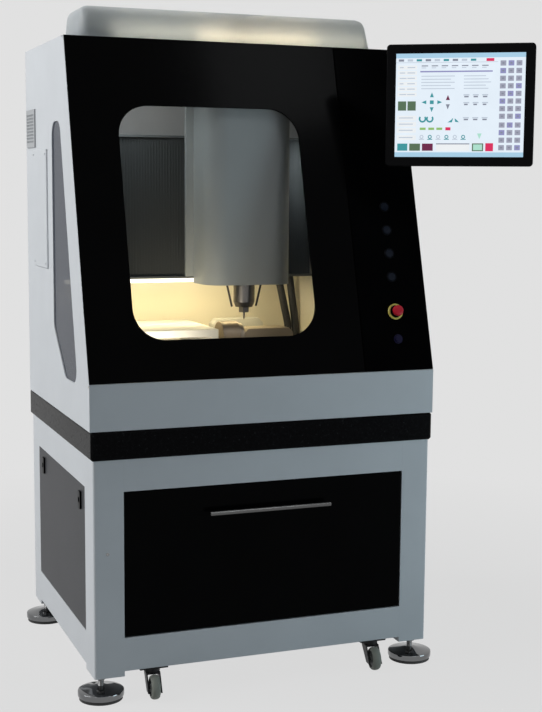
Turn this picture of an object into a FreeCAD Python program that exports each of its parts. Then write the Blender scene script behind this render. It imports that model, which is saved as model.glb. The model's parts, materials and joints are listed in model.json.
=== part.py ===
import FreeCAD, Part
import math
import os

# Enclosed engraving and milling machine on a cabinet stand.
# Millimetres. The origin is on the floor under the middle of the cabinet, +Z is up,
# the front faces -Y and +X is the right-hand side for someone who stands in front.

V = FreeCAD.Vector

# Cabinet stand
CABINET_W = 950.0
CABINET_D = 772.0
POST_X = 80.0
POST_Y = 92.0
TUBE_WALL = 4.0
POST_EDGE_R = 6.0
POST_FOOT_Z = 65.0
POST_PLATE_T = 10.0
RAIL_FOOT_Z = 79.0
FOOT_RAIL_H = 89.0
TOP_RAIL_H = 84.0
RAIL_D = 80.0
CABINET_TOP_Z = 638.0
FLOOR_PLATE_Z = 120.0
SHEET = 3.0

# Removable cabinet panels
PANEL_CLEAR = 0.6
PANEL_RETURN = 18.0
PANEL_EDGE = 2.0
LATCH_W = 22.0
LATCH_H = 48.0
LATCH_T = 5.0
LATCH_R = 4.0
LATCH_TRAVEL = 6.0
LATCH_DROP = 44.0
LATCH_FRONT_OFFSET = 140.0
LATCH_FRONT_Y = LATCH_FRONT_OFFSET - CABINET_D / 2
LATCH_REAR_OFFSET = 166.0
LATCH_REAR_Y = CABINET_D / 2 - LATCH_REAR_OFFSET
LATCH_STEM_W = 8.0
LATCH_STEM_H = 16.0
LATCH_STEM_L = 8.0
SLIDE_CLEAR = 0.3

# Electrics box
BOX_W = 600.0
BOX_D = 180.0
BOX_H = 380.0
BOX_BACK_GAP = 30.0

# Levelling feet and castors
FOOT_INSET_X = 26.0
FOOT_INSET_Y = 40.0
FOOT_R = 61.0
FOOT_PAD_R = 57.0
FOOT_PAD_H = 8.0
FOOT_RIM_H = 17.0
FOOT_DOME_H = 10.0
STUD_R = 8.0
STUD_NUT_AF = 26.0
STUD_NUT_H = 13.0
CASTOR_OFFSET = 159.0
CASTOR_X = CABINET_W / 2 - CASTOR_OFFSET
CASTOR_INSET_Y = 22.0
CASTOR_PLATE_W = 76.0
CASTOR_PLATE_D = 44.0
CASTOR_PLATE_T = 4.0
CASTOR_HEAD_R = 21.0
CASTOR_HEAD_H = 10.0
CASTOR_PIN_R = 6.0
CASTOR_TRAIL = 40.0
CASTOR_TURN_DEG = 6.0
CASTOR_CROWN_HALF = 20.0
CASTOR_EYE = 13.0
CASTOR_CROWN_T = 5.0
CASTOR_CHEEK_T = 4.0
CASTOR_AXLE_R = 4.0
WHEEL_R = 32.0
WHEEL_W = 24.0
WHEEL_LIFT = 1.0
WHEEL_SIDE_GAP = 3.0
RUN_CLEAR = 0.05
FACE_CLEAR = 0.3

# Drawer
DRAWER_GAP = 2.0
DRAWER_FRONT_T = 18.0
DRAWER_FRONT_INSET = 1.0
DRAWER_EDGE = 1.2
TRAY_H = 280.0
TRAY_BACK_GAP = 23.0
TRAY_FOOT_GAP = 30.0
RUNNER_Z = 300.0
RUNNER_H = 45.0
RUNNER_WALL = 2.5
RUNNER_CHANNEL_W = 14.0
RUNNER_END_GAP = 53.0
RUNNER_MID_T = 8.0
RUNNER_INNER_TRIM = 10.0
RUNNER_INNER_T = 18.5
RUNNER_CLEAR = 0.5
HANDLE_L = 340.0
HANDLE_R = 6.0
HANDLE_STANDOFF = 26.0
HANDLE_Z = 484.0
HANDLE_POST_R = 5.0
HANDLE_POST_SPAN = 290.0

# Granite base
GRANITE_T = 75.0
GRANITE_OVER = 6.0
GRANITE_CHAMFER = 5.0

# Enclosure
ENCLOSURE_OFFSET = 8.0
WALL_X = CABINET_W / 2 + ENCLOSURE_OFFSET
ENCLOSURE_TOP_Z = 1717.0
ENCLOSURE_REAR_OFFSET = 7.0
ENCLOSURE_REAR_Y = CABINET_D / 2 - ENCLOSURE_REAR_OFFSET
SILL_OFFSET = 4.0
SILL_Y = -CABINET_D / 2 - SILL_OFFSET
SILL_H = 121.0
SLOPE_RUN = 249.0
SILL_EDGE = 1.5
SILL_STEP = 2.0

# Side window, in the left wall
SIDE_WINDOW_REAR_OFFSET = 412.0
SIDE_WINDOW_REAR_Y = SILL_Y + SIDE_WINDOW_REAR_OFFSET
SIDE_WINDOW_FRONT_OFFSET = 129.0
SIDE_WINDOW_FRONT_Y = SILL_Y + SIDE_WINDOW_FRONT_OFFSET
SIDE_WINDOW_Z0 = 816.0
SIDE_WINDOW_Z1 = 1500.0
SIDE_WINDOW_CUT_OFFSET = 273.0
SIDE_WINDOW_CUT_Y = SILL_Y + SIDE_WINDOW_CUT_OFFSET
SIDE_WINDOW_CUT_Z = 940.0
SIDE_WINDOW_TOP_W = 102.0
SIDE_WINDOW_TOP_R = 40.0
SIDE_WINDOW_R = 36.0
PANE_T = 4.0
PANE_LAP = 12.0

# Vent and service cover, on the left wall
VENT_OFFSET = 80.0
VENT_Y = ENCLOSURE_REAR_Y - VENT_OFFSET
VENT_Z = 1491.0
VENT_W = 118.0
VENT_H = 108.0
VENT_T = 4.0
VENT_BORDER = 12.0
VENT_SLOTS = 9
VENT_SLOT_SHARE = 0.55
COVER_OFFSET = 297.0
COVER_Y0 = ENCLOSURE_REAR_Y - COVER_OFFSET
COVER_D = 178.0
COVER_Z0 = 1097.0
COVER_H = 331.0
COVER_T = 5.0
LOUVRE_COUNT = 8
LOUVRE_PITCH = 22.0
LOUVRE_W = 260.0
LOUVRE_H = 7.0
LOUVRE_X = 250.0
LOUVRE_Z = 1130.0

# Roof hood
HOOD_SIDE_OFFSET = 57.0
HOOD_W = 2 * (WALL_X - HOOD_SIDE_OFFSET)
HOOD_D = 207.0
HOOD_H = 91.0
HOOD_FRONT_OFFSET = 308.0
HOOD_FRONT_Y = SILL_Y + HOOD_FRONT_OFFSET
HOOD_DRAFT = 8.0
HOOD_FRONT_DRAFT = 30.0
HOOD_SEAT = 12.0
HOOD_WALL = 3.0

# Front door and control fascia: a thin skin on a folded frame
FASCIA_OFFSET = 205.0
SPLIT_X = WALL_X - FASCIA_OFFSET
SPLIT_GAP = 2.0
SKIN_T = 6.0
FRAME_T = 16.0
FRAME_W = 40.0
FRAME_RAISE = 4.0
DOOR_GAP = 0.5
DOOR_REST_GAP = 1.0
SKIN_EDGE = 1.2
WINDOW_W = 506.0
WINDOW_H = 626.0
WINDOW_S = 107.0
WINDOW_R = 85.0
WINDOW_T = 5.0
DOOR_RAIL_T = 12.0
DOOR_RAIL_W = 15.0
DOOR_RAIL_S0 = 20.0
DOOR_RAIL_END_GAP = 17.0
CARRIAGE_L = 70.0
CARRIAGE_LOW_S = 40.0
CARRIAGE_HIGH_S = 200.0
CARRIAGE_W = 30.0
CARRIAGE_WALL = 6.0

# Controls
CONTROL_OFFSET = 98.0
CONTROL_X = WALL_X - CONTROL_OFFSET
BUTTON_S0 = 261.0
BUTTON_PITCH = 66.0
BUTTON_COUNT = 4
BUTTON_R = 11.0
BUTTON_PROUD = 2.5
BUTTON_CAP_T = 7.5
BUTTON_STEM_W = 9.0
BUTTON_STEM_L = 15.0
BEZEL_R = 14.5
BEZEL_T = 1.5
STOP_S = 163.5
STOP_RING_R = 22.0
STOP_RING_T = 4.0
STOP_HEAD_R = 15.0
STOP_HEAD_T = 13.0
STOP_NECK_R = 9.0
STOP_NECK_L = 9.0
STOP_STEM_L = 24.0
SOCKET_S = 87.5
SOCKET_W = 16.0
SOCKET_L = 30.0
SOCKET_FLANGE_R = 13.0
SOCKET_FLANGE_T = 2.0
SOCKET_CAP_R = 9.0
SOCKET_CAP_T = 4.0

# Gantry and guide rails
GANTRY_FRONT_OFFSET = 425.0
GANTRY_FRONT_Y = SILL_Y + GANTRY_FRONT_OFFSET
GANTRY_D = 147.0
GANTRY_Z0 = 1076.0
GANTRY_H = 387.0
GANTRY_WALL = 15.0
COLUMN_W = 60.0
WALL_GAP = 0.5
LEDGE_FRONT_OFFSET = 380.0
LEDGE_FRONT_Y = SILL_Y + LEDGE_FRONT_OFFSET
LEDGE_BACK_OFFSET = 455.0
LEDGE_BACK_Y = SILL_Y + LEDGE_BACK_OFFSET
LEDGE_T = 6.0
X_RAIL_T = 15.0
X_RAIL_H = 20.0
X_RAIL_INSET = 60.0
Y_RAIL_W = 20.0
Y_RAIL_H = 18.0
Y_RAIL_X0 = -200.0
Y_RAIL_X1 = 90.0
Y_RAIL_FRONT_OFFSET = 50.0
Y_RAIL_Y0 = SILL_Y + Y_RAIL_FRONT_OFFSET
Y_RAIL_BACK_OFFSET = 562.0
Y_RAIL_Y1 = SILL_Y + Y_RAIL_BACK_OFFSET

# Bellows over the X rails
BELLOWS_FRONT_OFFSET = 383.0
BELLOWS_FRONT_Y = SILL_Y + BELLOWS_FRONT_OFFSET
BELLOWS_FOLD = 16.0
BELLOWS_T = 6.0
PLEAT_PITCH = 14.0

# Light bar and conduits
LIGHT_END_OFFSET = 27.0
LIGHT_X0 = LIGHT_END_OFFSET - WALL_X
LIGHT_X1 = 120.0
LIGHT_OFFSET = 390.0
LIGHT_Y = SILL_Y + LIGHT_OFFSET
LIGHT_W = 16.0
LIGHT_H = 11.0
LIGHT_R = 4.5
CONDUIT_OFFSET = 470.0
CONDUIT_Y = SILL_Y + CONDUIT_OFFSET
CONDUIT_R = 11.0
CONDUIT_OVERRUN = 20.0
CONDUIT_KNEE_Z = 921.0
CONDUIT_A_X0_OFFSET = 75.0
CONDUIT_A_X0 = SPLIT_X - CONDUIT_A_X0_OFFSET
CONDUIT_A_X1_OFFSET = 40.0
CONDUIT_A_X1 = SPLIT_X - CONDUIT_A_X1_OFFSET
CONDUIT_B_X0_OFFSET = 38.0
CONDUIT_B_X0 = SPLIT_X - CONDUIT_B_X0_OFFSET
CONDUIT_B_X1_OFFSET = 16.0
CONDUIT_B_X1 = SPLIT_X - CONDUIT_B_X1_OFFSET

# Head: saddle, cover and motor
HEAD_X = 34.0
HEAD_PLATE_W = 298.0
HEAD_PLATE_T = 14.0
HEAD_PLATE_GAP = 2.4
HEAD_PLATE_Z0 = 1076.0
HEAD_PLATE_Z1 = 1576.0
HEAD_NECK_W = 260.0
HEAD_BLOCK_X = 90.0
HEAD_BLOCK_L = 60.0
HEAD_BLOCK_H = 50.0
HEAD_BLOCK_T = 25.0
HEAD_NECK_CLEAR = 8.0
HEAD_COVER_W = 254.0
HEAD_COVER_FRONT_OFFSET = 230.0
HEAD_COVER_FRONT_Y = SILL_Y + HEAD_COVER_FRONT_OFFSET
HEAD_COVER_R = 58.0
HEAD_COVER_Z0 = 1058.0
HEAD_COVER_TOP_DROP = 4.0
Z_RAIL_X = 60.0
Z_RAIL_W = 12.0
Z_RAIL_T = 12.0
Z_RAIL_INSET = 25.0
MOTOR_W = 60.0
MOTOR_H = 120.0
MOTOR_FLANGE_W = 80.0
MOTOR_FLANGE_T = 12.0
MOTOR_BOSS_H = 50.0
MOTOR_CAP_W = 46.0
MOTOR_CAP_H = 20.0
MOTOR_EDGE = 6.0

# Spindle
TOOL_OFFSET = 295.0
TOOL_Y = SILL_Y + TOOL_OFFSET
SPINDLE_R = 40.0
SPINDLE_TOP_Z = 1368.0
SPINDLE_STEP_Z = 1079.0
NOSE_R = 30.0
NOSE_TIP_R = 24.0
NOSE_Z = 993.0
NOSE_TAPER_H = 14.0
SHAFT_R = 10.0
SHAFT_L = 30.0
NUT_AF = 26.0
NUT_H = 15.0
CUTTER_R = 3.0
TIP_Z = 956.0
TIP_CONE_H = 6.0
SLIDE_W = 160.0
SLIDE_T = 12.0
SLIDE_Z0 = 1128.0
SLIDE_H = 190.0
SLIDE_BLOCK_H = 50.0
SLIDE_BLOCK_W = 34.0
SLIDE_BLOCK_GAP = 1.2
CLAMP_W = 110.0
CLAMP_H = 120.0
CLAMP_WALL = 6.0
MANIFOLD_T = 12.0
MANIFOLD_Z = 1064.0
NOZZLE_R = 3.0
NOZZLE_TOP_X = 54.0
NOZZLE_TIP_X = 36.0
NOZZLE_TIP_Z = 994.0

# Table and rotary axis
TABLE_X0 = -355.0
TABLE_X1 = 183.0
TABLE_FRONT_OFFSET = 220.0
TABLE_Y0 = SILL_Y + TABLE_FRONT_OFFSET
TABLE_BACK_OFFSET = 510.0
TABLE_Y1 = SILL_Y + TABLE_BACK_OFFSET
TABLE_BASE_Z = 738.0
TABLE_BASE_T = 20.0
TABLE_BLOCK_L = 60.0
TABLE_BLOCK_W = 48.0
TABLE_BLOCK_INSET = 35.0
TABLE_BLOCK_FLOAT = 2.0
BED_X1 = -67.0
BED_INSET = 5.0
BED_TOP_Z = 939.0
BED_T = 20.0
BED_LEG_T = 20.0
FIXTURE_HOLE_R = 3.3
FIXTURE_PITCH_X = 200.0
FIXTURE_PITCH_Y = 140.0
REAR_BLOCK_X0 = 1.0
REAR_BLOCK_X1 = 158.0
REAR_BLOCK_D = 40.0
REAR_BLOCK_TOP_Z = 941.0
REAR_BLOCK_CHAMFER = 14.0
AXIS_Z = 907.0
HEADSTOCK_X0 = -40.0
HEADSTOCK_X1 = 10.0
HEADSTOCK_R = 46.0
CHUCK_GAP = 0.4
CHUCK_R = 40.0
CHUCK_T = 13.0
CHUCK_SHAFT_R = 15.0
CHUCK_SHAFT_L = 40.0
CRADLE_L = 146.0
CRADLE_HALF_D = 36.0
CRADLE_UP = 26.0
CRADLE_DOWN = 20.0
CRADLE_CHAMFER = 12.0

# Screen on its arm
SCREEN_OUT = 15.0
SCREEN_X = WALL_X + SCREEN_OUT
SCREEN_FORWARD = 84.0
SCREEN_Y = SILL_Y - SCREEN_FORWARD
SCREEN_Z = 1546.0
SCREEN_YAW_DEG = 33.0
SCREEN_W = 338.0
SCREEN_H = 270.0
SCREEN_T = 2.0
HOUSING_W = 389.0
HOUSING_H = 319.0
HOUSING_FRONT_T = 30.0
HOUSING_R = 10.0
HOUSING_EDGE = 2.0
HOUSING_BACK_W = 300.0
HOUSING_BACK_H = 230.0
HOUSING_BACK_T = 25.0
HOUSING_BACK_DRAFT = 16.0
TILT_BACK = 20.0
PAN_BACK = 35.0
BARREL_R = 11.0
BARREL_L = 60.0
YOKE_WEB_GAP = 2.0
TILT_PIN_R = 6.0
EAR_T = 8.0
EAR_H = 24.0
ARM_W = 40.0
ARM_H = 46.0
ARM_END_R = 22.0
ARM_PIVOT_OFFSET = 310.0
ARM_PIVOT_Y = SILL_Y + ARM_PIVOT_OFFSET
ARM_PIN_R = 8.0
LUG_HALF = 20.0
LUG_T = 10.0
BRACKET_W = 110.0
BRACKET_H = 140.0
BRACKET_T = 6.0

# Values that follow from the sizes above
CABINET_X = CABINET_W / 2
CABINET_Y = CABINET_D / 2
OPEN_X = CABINET_X - POST_X
OPEN_Y = CABINET_Y - POST_Y
OPEN_Z0 = RAIL_FOOT_Z + FOOT_RAIL_H
OPEN_Z1 = CABINET_TOP_Z - TOP_RAIL_H
GRANITE_TOP_Z = CABINET_TOP_Z + GRANITE_T
BOX_BACK_Y = CABINET_Y - RAIL_D - BOX_BACK_GAP
TRAY_Y0 = DRAWER_FRONT_INSET + DRAWER_FRONT_T - CABINET_Y
TRAY_D = BOX_BACK_Y - BOX_D - TRAY_BACK_GAP - TRAY_Y0
RUNNER_MID_L = TRAY_D
RUNNER_INNER_L = TRAY_D - RUNNER_INNER_TRIM
RUNNER_FIXED_L = CABINET_Y - RUNNER_END_GAP - TRAY_Y0
FOOT_X = CABINET_X - FOOT_INSET_X
FOOT_Y = CABINET_Y - FOOT_INSET_Y
CASTOR_Y = CABINET_Y - CASTOR_INSET_Y
CASTOR_HEAD_Z = RAIL_FOOT_Z - CASTOR_PLATE_T - CASTOR_HEAD_H
AXLE_Z = WHEEL_LIFT + WHEEL_R
INNER_X = WALL_X - SHEET
SILL_TOP_Z = GRANITE_TOP_Z + SILL_H
SLOPE = math.atan2(SLOPE_RUN, ENCLOSURE_TOP_Z - SILL_TOP_Z)
SLOPE_LEN = math.hypot(SLOPE_RUN, ENCLOSURE_TOP_Z - SILL_TOP_Z)
DOOR_T = SKIN_T + FRAME_T
WALL_DEPTH = DOOR_T + DOOR_GAP
STEP_Z = SILL_TOP_Z - WALL_DEPTH * math.sin(SLOPE) - SILL_STEP
DOOR_X1 = SPLIT_X - SPLIT_GAP / 2
FASCIA_X0 = SPLIT_X + SPLIT_GAP / 2
PARTITION_X1 = FASCIA_X0
PARTITION_X0 = PARTITION_X1 - SHEET
WINDOW_X = (DOOR_X1 - WALL_X) / 2
DOOR_RAIL_DEPTH = DOOR_T + CARRIAGE_WALL
GANTRY_Z1 = GANTRY_Z0 + GANTRY_H
GANTRY_BACK_Y = GANTRY_FRONT_Y + GANTRY_D
X_RAIL_FRONT_Y = GANTRY_FRONT_Y - X_RAIL_T
HEAD_PLATE_BACK_Y = LEDGE_FRONT_Y - HEAD_PLATE_GAP
HEAD_PLATE_FRONT_Y = HEAD_PLATE_BACK_Y - HEAD_PLATE_T
HEAD_BLOCK_FRONT_Y = X_RAIL_FRONT_Y - HEAD_BLOCK_T / 2
Z_RAIL_FRONT_Y = HEAD_PLATE_FRONT_Y - Z_RAIL_T
SLIDE_FRONT_Y = Z_RAIL_FRONT_Y - CLAMP_WALL - SLIDE_T
TABLE_TOP_Z = TABLE_BASE_Z + TABLE_BASE_T
BED_X0 = TABLE_X0 + BED_INSET
CHUCK_X0 = HEADSTOCK_X1 + CHUCK_GAP
CRADLE_X0 = CHUCK_X0 + CHUCK_T
HOUSING_T = HOUSING_FRONT_T + HOUSING_BACK_T
TILT_DEPTH = HOUSING_T + TILT_BACK
PAN_DEPTH = TILT_DEPTH + PAN_BACK
YAW = math.radians(SCREEN_YAW_DEG)
PAN_X = SCREEN_X + PAN_DEPTH * math.sin(YAW)
PAN_Y = SCREEN_Y + PAN_DEPTH * math.cos(YAW)


def box(x0, x1, y0, y1, z0, z1):
    return Part.makeBox(x1 - x0, y1 - y0, z1 - z0, V(x0, y0, z0))


def rod(base, axis, radius, length):
    return Part.makeCylinder(radius, length, V(*base), V(*axis))


def rounded_wire(points, radii):
    """Closed wire through the points, with a tangent arc of the given radius at each corner."""
    corners = []
    count = len(points)
    for i, point in enumerate(points):
        back = points[i - 1] - point
        ahead = points[(i + 1) % count] - point
        half = back.getAngle(ahead) / 2
        back.normalize()
        ahead.normalize()
        trim = radii[i] / math.tan(half)
        middle = (back + ahead).normalize()
        reach = radii[i] / math.sin(half) - radii[i]
        corners.append((point + back * trim, point + middle * reach, point + ahead * trim))
    edges = []
    for i, (start, middle, end) in enumerate(corners):
        if radii[i] > 0:
            edges.append(Part.Arc(start, middle, end).toShape())
        following = corners[(i + 1) % count][0]
        if (following - end).Length > 1e-6:
            edges.append(Part.LineSegment(end, following).toShape())
    return Part.Wire(edges)


def prism(points, radii, along):
    if not isinstance(radii, (list, tuple)):
        radii = [radii] * len(points)
    return Part.Face(rounded_wire(points, radii)).extrude(along)


def rectangle_xy(x0, x1, y0, y1, z):
    return [V(x0, y0, z), V(x1, y0, z), V(x1, y1, z), V(x0, y1, z)]


def rectangle_xz(x0, x1, z0, z1, y):
    return [V(x0, y, z0), V(x1, y, z0), V(x1, y, z1), V(x0, y, z1)]


def rectangle_yz(y0, y1, z0, z1, x):
    return [V(x, y0, z0), V(x, y1, z0), V(x, y1, z1), V(x, y0, z1)]


def hexagon(x, y, z, across_flats, height):
    radius = across_flats / math.sqrt(3)
    points = []
    for i in range(6):
        turn = math.radians(60 * i)
        points.append(V(x + radius * math.cos(turn), y + radius * math.sin(turn), z))
    return prism(points, 0, V(0, 0, height))


def revolved(profile, x, y):
    """Solid of revolution about a vertical axis, from (radius, z) points."""
    points = [V(r, 0, z) for r, z in profile]
    face = Part.Face(Part.makePolygon(points + [points[0]]))
    solid = face.revolve(V(0, 0, 0), V(0, 0, 1), 360)
    solid.translate(V(x, y, 0))
    return solid


def edges_at(shape, test):
    return [e for e in shape.Edges if all(test(v.Point) for v in e.Vertexes)]


def near(a, b):
    return abs(a - b) < 1e-4


def on_slope(shape):
    """Moves a shape drawn upright, with y as depth and z as height on the front, onto the slope."""
    shape.rotate(V(0, 0, 0), V(1, 0, 0), -math.degrees(SLOPE))
    shape.translate(V(0, SILL_Y, SILL_TOP_Z))
    return shape


def slope_y(z, depth):
    """Y of the sloping front at height z, this deep behind its face."""
    return SILL_Y + depth / math.cos(SLOPE) + math.tan(SLOPE) * (z - SILL_TOP_Z)


def on_screen(shape):
    """Moves a shape drawn about the screen's middle, facing -Y, to the screen's place."""
    shape.rotate(V(0, 0, 0), V(0, 0, 1), -SCREEN_YAW_DEG)
    shape.translate(V(SCREEN_X, SCREEN_Y, SCREEN_Z))
    return shape


def cabinet_frame():
    solids = []
    for sx in (-1, 1):
        for sy in (-1, 1):
            x0, x1 = sorted((sx * CABINET_X, sx * OPEN_X))
            y0, y1 = sorted((sy * CABINET_Y, sy * OPEN_Y))
            post = box(x0, x1, y0, y1, POST_FOOT_Z, CABINET_TOP_Z)
            corner = edges_at(post, lambda p: near(p.x, sx * CABINET_X) and near(p.y, sy * CABINET_Y))
            post = post.makeFillet(POST_EDGE_R, corner)
            bore_z = POST_FOOT_Z + POST_PLATE_T
            bore = box(x0 + TUBE_WALL, x1 - TUBE_WALL, y0 + TUBE_WALL, y1 - TUBE_WALL, bore_z, CABINET_TOP_Z)
            solids.append(post.cut(bore))
    for z0, z1 in ((RAIL_FOOT_Z, OPEN_Z0), (OPEN_Z1, CABINET_TOP_Z)):
        for side in (-1, 1):
            y0, y1 = sorted((side * CABINET_Y, side * (CABINET_Y - RAIL_D)))
            bar = box(-OPEN_X, OPEN_X, y0, y1, z0, z1)
            bore = box(-OPEN_X, OPEN_X, y0 + TUBE_WALL, y1 - TUBE_WALL, z0 + TUBE_WALL, z1 - TUBE_WALL)
            solids.append(bar.cut(bore))
            x0, x1 = sorted((side * CABINET_X, side * (CABINET_X - RAIL_D)))
            bar = box(x0, x1, -OPEN_Y, OPEN_Y, z0, z1)
            bore = box(x0 + TUBE_WALL, x1 - TUBE_WALL, -OPEN_Y, OPEN_Y, z0 + TUBE_WALL, z1 - TUBE_WALL)
            solids.append(bar.cut(bore))
    inner_y = CABINET_Y - RAIL_D
    inner_x = CABINET_X - RAIL_D
    solids.append(box(-inner_x, inner_x, -inner_y, inner_y, FLOOR_PLATE_Z, FLOOR_PLATE_Z + SHEET))
    return solids


def folded_panel(width, height):
    """Sheet panel with returns, drawn in XZ about x = 0, its face at y = 0 and returns towards +Y."""
    face = box(-width / 2, width / 2, 0, PANEL_RETURN, 0, height)
    face = face.makeChamfer(PANEL_EDGE / 2, edges_at(face, lambda p: near(p.y, 0)))
    hollow = box(SHEET - width / 2, width / 2 - SHEET, SHEET, PANEL_RETURN, SHEET, height - SHEET)
    return face.cut(hollow)


def place_panel(panel, turn, x, y):
    panel.rotate(V(0, 0, 0), V(0, 0, 1), turn)
    panel.translate(V(x, y, OPEN_Z0 + PANEL_CLEAR))
    return panel


def latch_z():
    return OPEN_Z1 - PANEL_CLEAR - LATCH_DROP


def latch_stem_slot(y):
    half_w = LATCH_STEM_W / 2 + SLIDE_CLEAR
    half_h = LATCH_STEM_H / 2 + SLIDE_CLEAR
    low = latch_z() - half_h - LATCH_TRAVEL
    return box(-CABINET_X, SHEET - CABINET_X, y - half_w, y + half_w, low, latch_z() + half_h)


def left_side_panel():
    panel = folded_panel(2 * (OPEN_Y - PANEL_CLEAR), OPEN_Z1 - OPEN_Z0 - 2 * PANEL_CLEAR)
    panel = place_panel(panel, -90, -CABINET_X, 0)
    for y in (LATCH_FRONT_Y, LATCH_REAR_Y):
        panel = panel.cut(latch_stem_slot(y))
    return panel


def fixed_cabinet_panels():
    side = folded_panel(2 * (OPEN_Y - PANEL_CLEAR), OPEN_Z1 - OPEN_Z0 - 2 * PANEL_CLEAR)
    back = folded_panel(2 * (OPEN_X - PANEL_CLEAR), OPEN_Z1 - OPEN_Z0 - 2 * PANEL_CLEAR)
    return [place_panel(side, 90, CABINET_X, 0), place_panel(back, 180, 0, CABINET_Y)]


def latch(y):
    half = LATCH_W / 2
    x0 = -CABINET_X - FACE_CLEAR
    z0 = latch_z() - LATCH_H / 2
    plate = prism(rectangle_yz(y - half, y + half, z0, z0 + LATCH_H, x0), LATCH_R, V(-LATCH_T, 0, 0))
    deep = LATCH_T / 2
    wide = half - LATCH_R
    groove = box(x0 - LATCH_T, x0 - deep, y - wide, y + wide, latch_z() - wide, latch_z() + wide)
    half_w = LATCH_STEM_W / 2
    half_h = LATCH_STEM_H / 2
    stem = box(x0, x0 + LATCH_STEM_L, y - half_w, y + half_w, latch_z() - half_h, latch_z() + half_h)
    return plate.cut(groove).fuse(stem)


def electrics_box():
    z0 = FLOOR_PLATE_Z + SHEET
    body = box(-BOX_W / 2, BOX_W / 2, BOX_BACK_Y - BOX_D, BOX_BACK_Y, z0, z0 + BOX_H)
    return body.makeChamfer(PANEL_EDGE, edges_at(body, lambda p: near(p.z, z0 + BOX_H)))


def foot_discs():
    """Levelling feet: a domed disc and, as a solid of its own, the stud with its nut."""
    solids = []
    rim_z = FOOT_PAD_H + FOOT_RIM_H
    dome_z = rim_z + FOOT_DOME_H
    nut_z = POST_FOOT_Z - STUD_NUT_H
    profile = [(0, FOOT_PAD_H), (FOOT_R, FOOT_PAD_H), (FOOT_R, rim_z), (STUD_R, dome_z), (0, dome_z)]
    for sx in (-1, 1):
        for sy in (-1, 1):
            x = sx * FOOT_X
            y = sy * FOOT_Y
            solids.append(revolved(profile, x, y))
            stud = rod((x, y, dome_z), (0, 0, 1), STUD_R, nut_z - dome_z)
            solids.append(stud.fuse(hexagon(x, y, nut_z, STUD_NUT_AF, STUD_NUT_H)))
    return solids


def foot_pads():
    solids = []
    for sx in (-1, 1):
        for sy in (-1, 1):
            solids.append(rod((sx * FOOT_X, sy * FOOT_Y, 0), (0, 0, 1), FOOT_PAD_R, FOOT_PAD_H))
    return solids


def castor_cheeks(x, y_top, y_axle, z_top):
    """Two cheek plates that carry a castor's axle, and the axle."""
    reach = CASTOR_CROWN_HALF
    eye = CASTOR_EYE
    outline = [(y_top - reach, z_top), (y_top + reach, z_top)]
    outline += [(y_axle + eye, AXLE_Z - eye), (y_axle - eye, AXLE_Z - eye)]
    half = WHEEL_W / 2 + WHEEL_SIDE_GAP
    cheeks = []
    for x0 in (x - half - CASTOR_CHEEK_T, x + half):
        cheeks.append(prism([V(x0, y, z) for y, z in outline], 0, V(CASTOR_CHEEK_T, 0, 0)))
    axle = rod((x - half, y_axle, AXLE_Z), (1, 0, 0), CASTOR_AXLE_R, 2 * half)
    crown_x = half + CASTOR_CHEEK_T
    crown = box(x - crown_x, x + crown_x, y_top - reach, y_top + reach, z_top - CASTOR_CROWN_T, z_top)
    return crown.fuse(cheeks + [axle])


def castor_plates():
    solids = []
    plate_z = RAIL_FOOT_Z - CASTOR_PLATE_T
    for sx in (-1, 1):
        for sy in (-1, 1):
            x = sx * CASTOR_X
            y = sy * CASTOR_Y
            half_w = CASTOR_PLATE_W / 2
            half_d = CASTOR_PLATE_D / 2
            plate = box(x - half_w, x + half_w, y - half_d, y + half_d, plate_z, RAIL_FOOT_Z)
            if sy < 0:
                head = rod((x, y, CASTOR_HEAD_Z), (0, 0, 1), CASTOR_HEAD_R, CASTOR_HEAD_H)
                bore = rod((x, y, CASTOR_HEAD_Z), (0, 0, 1), CASTOR_PIN_R + RUN_CLEAR, CASTOR_HEAD_H)
                solids.append(plate.fuse(head).cut(bore))
            else:
                solids.append(plate.fuse(castor_cheeks(x, y, y, plate_z)))
    return solids


def swivelled(shape, x):
    """Turns a front castor's piece about its swivel, to the way it stands in the photo."""
    shape.rotate(V(x, -CASTOR_Y, 0), V(0, 0, 1), -CASTOR_TURN_DEG)
    return shape


def castor_fork(x):
    """Swivelling fork that trails its wheel towards the front."""
    y = -CASTOR_Y
    top = CASTOR_HEAD_Z - FACE_CLEAR
    pin = rod((x, y, top), (0, 0, 1), CASTOR_PIN_R, CASTOR_HEAD_H)
    return swivelled(castor_cheeks(x, y, y - CASTOR_TRAIL, top).fuse(pin), x)


def castor_wheel(x, y):
    half = WHEEL_W / 2
    tread = rod((x - half, y, AXLE_Z), (1, 0, 0), WHEEL_R, WHEEL_W)
    return tread.cut(rod((x - half, y, AXLE_Z), (1, 0, 0), CASTOR_AXLE_R + RUN_CLEAR, WHEEL_W))


def drawer_front():
    y0 = DRAWER_FRONT_INSET - CABINET_Y
    half = OPEN_X - DRAWER_GAP
    body = box(-half, half, y0, y0 + DRAWER_FRONT_T, OPEN_Z0 + DRAWER_GAP, OPEN_Z1 - DRAWER_GAP)
    return body.makeChamfer(DRAWER_EDGE, edges_at(body, lambda p: near(p.y, y0)))


def runner_bar(side, x_in, x_out, y0, length, z0, z1):
    x0, x1 = sorted((side * x_in, side * x_out))
    return box(x0, x1, y0, y0 + length, z0, z1)


def runner_levels():
    z0 = RUNNER_Z + RUNNER_WALL + RUNNER_CLEAR
    return z0, RUNNER_Z + RUNNER_H - RUNNER_WALL - RUNNER_CLEAR


def mid_runner_x():
    outer = OPEN_X - RUNNER_WALL - RUNNER_CLEAR
    return outer - RUNNER_MID_T, outer


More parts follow.
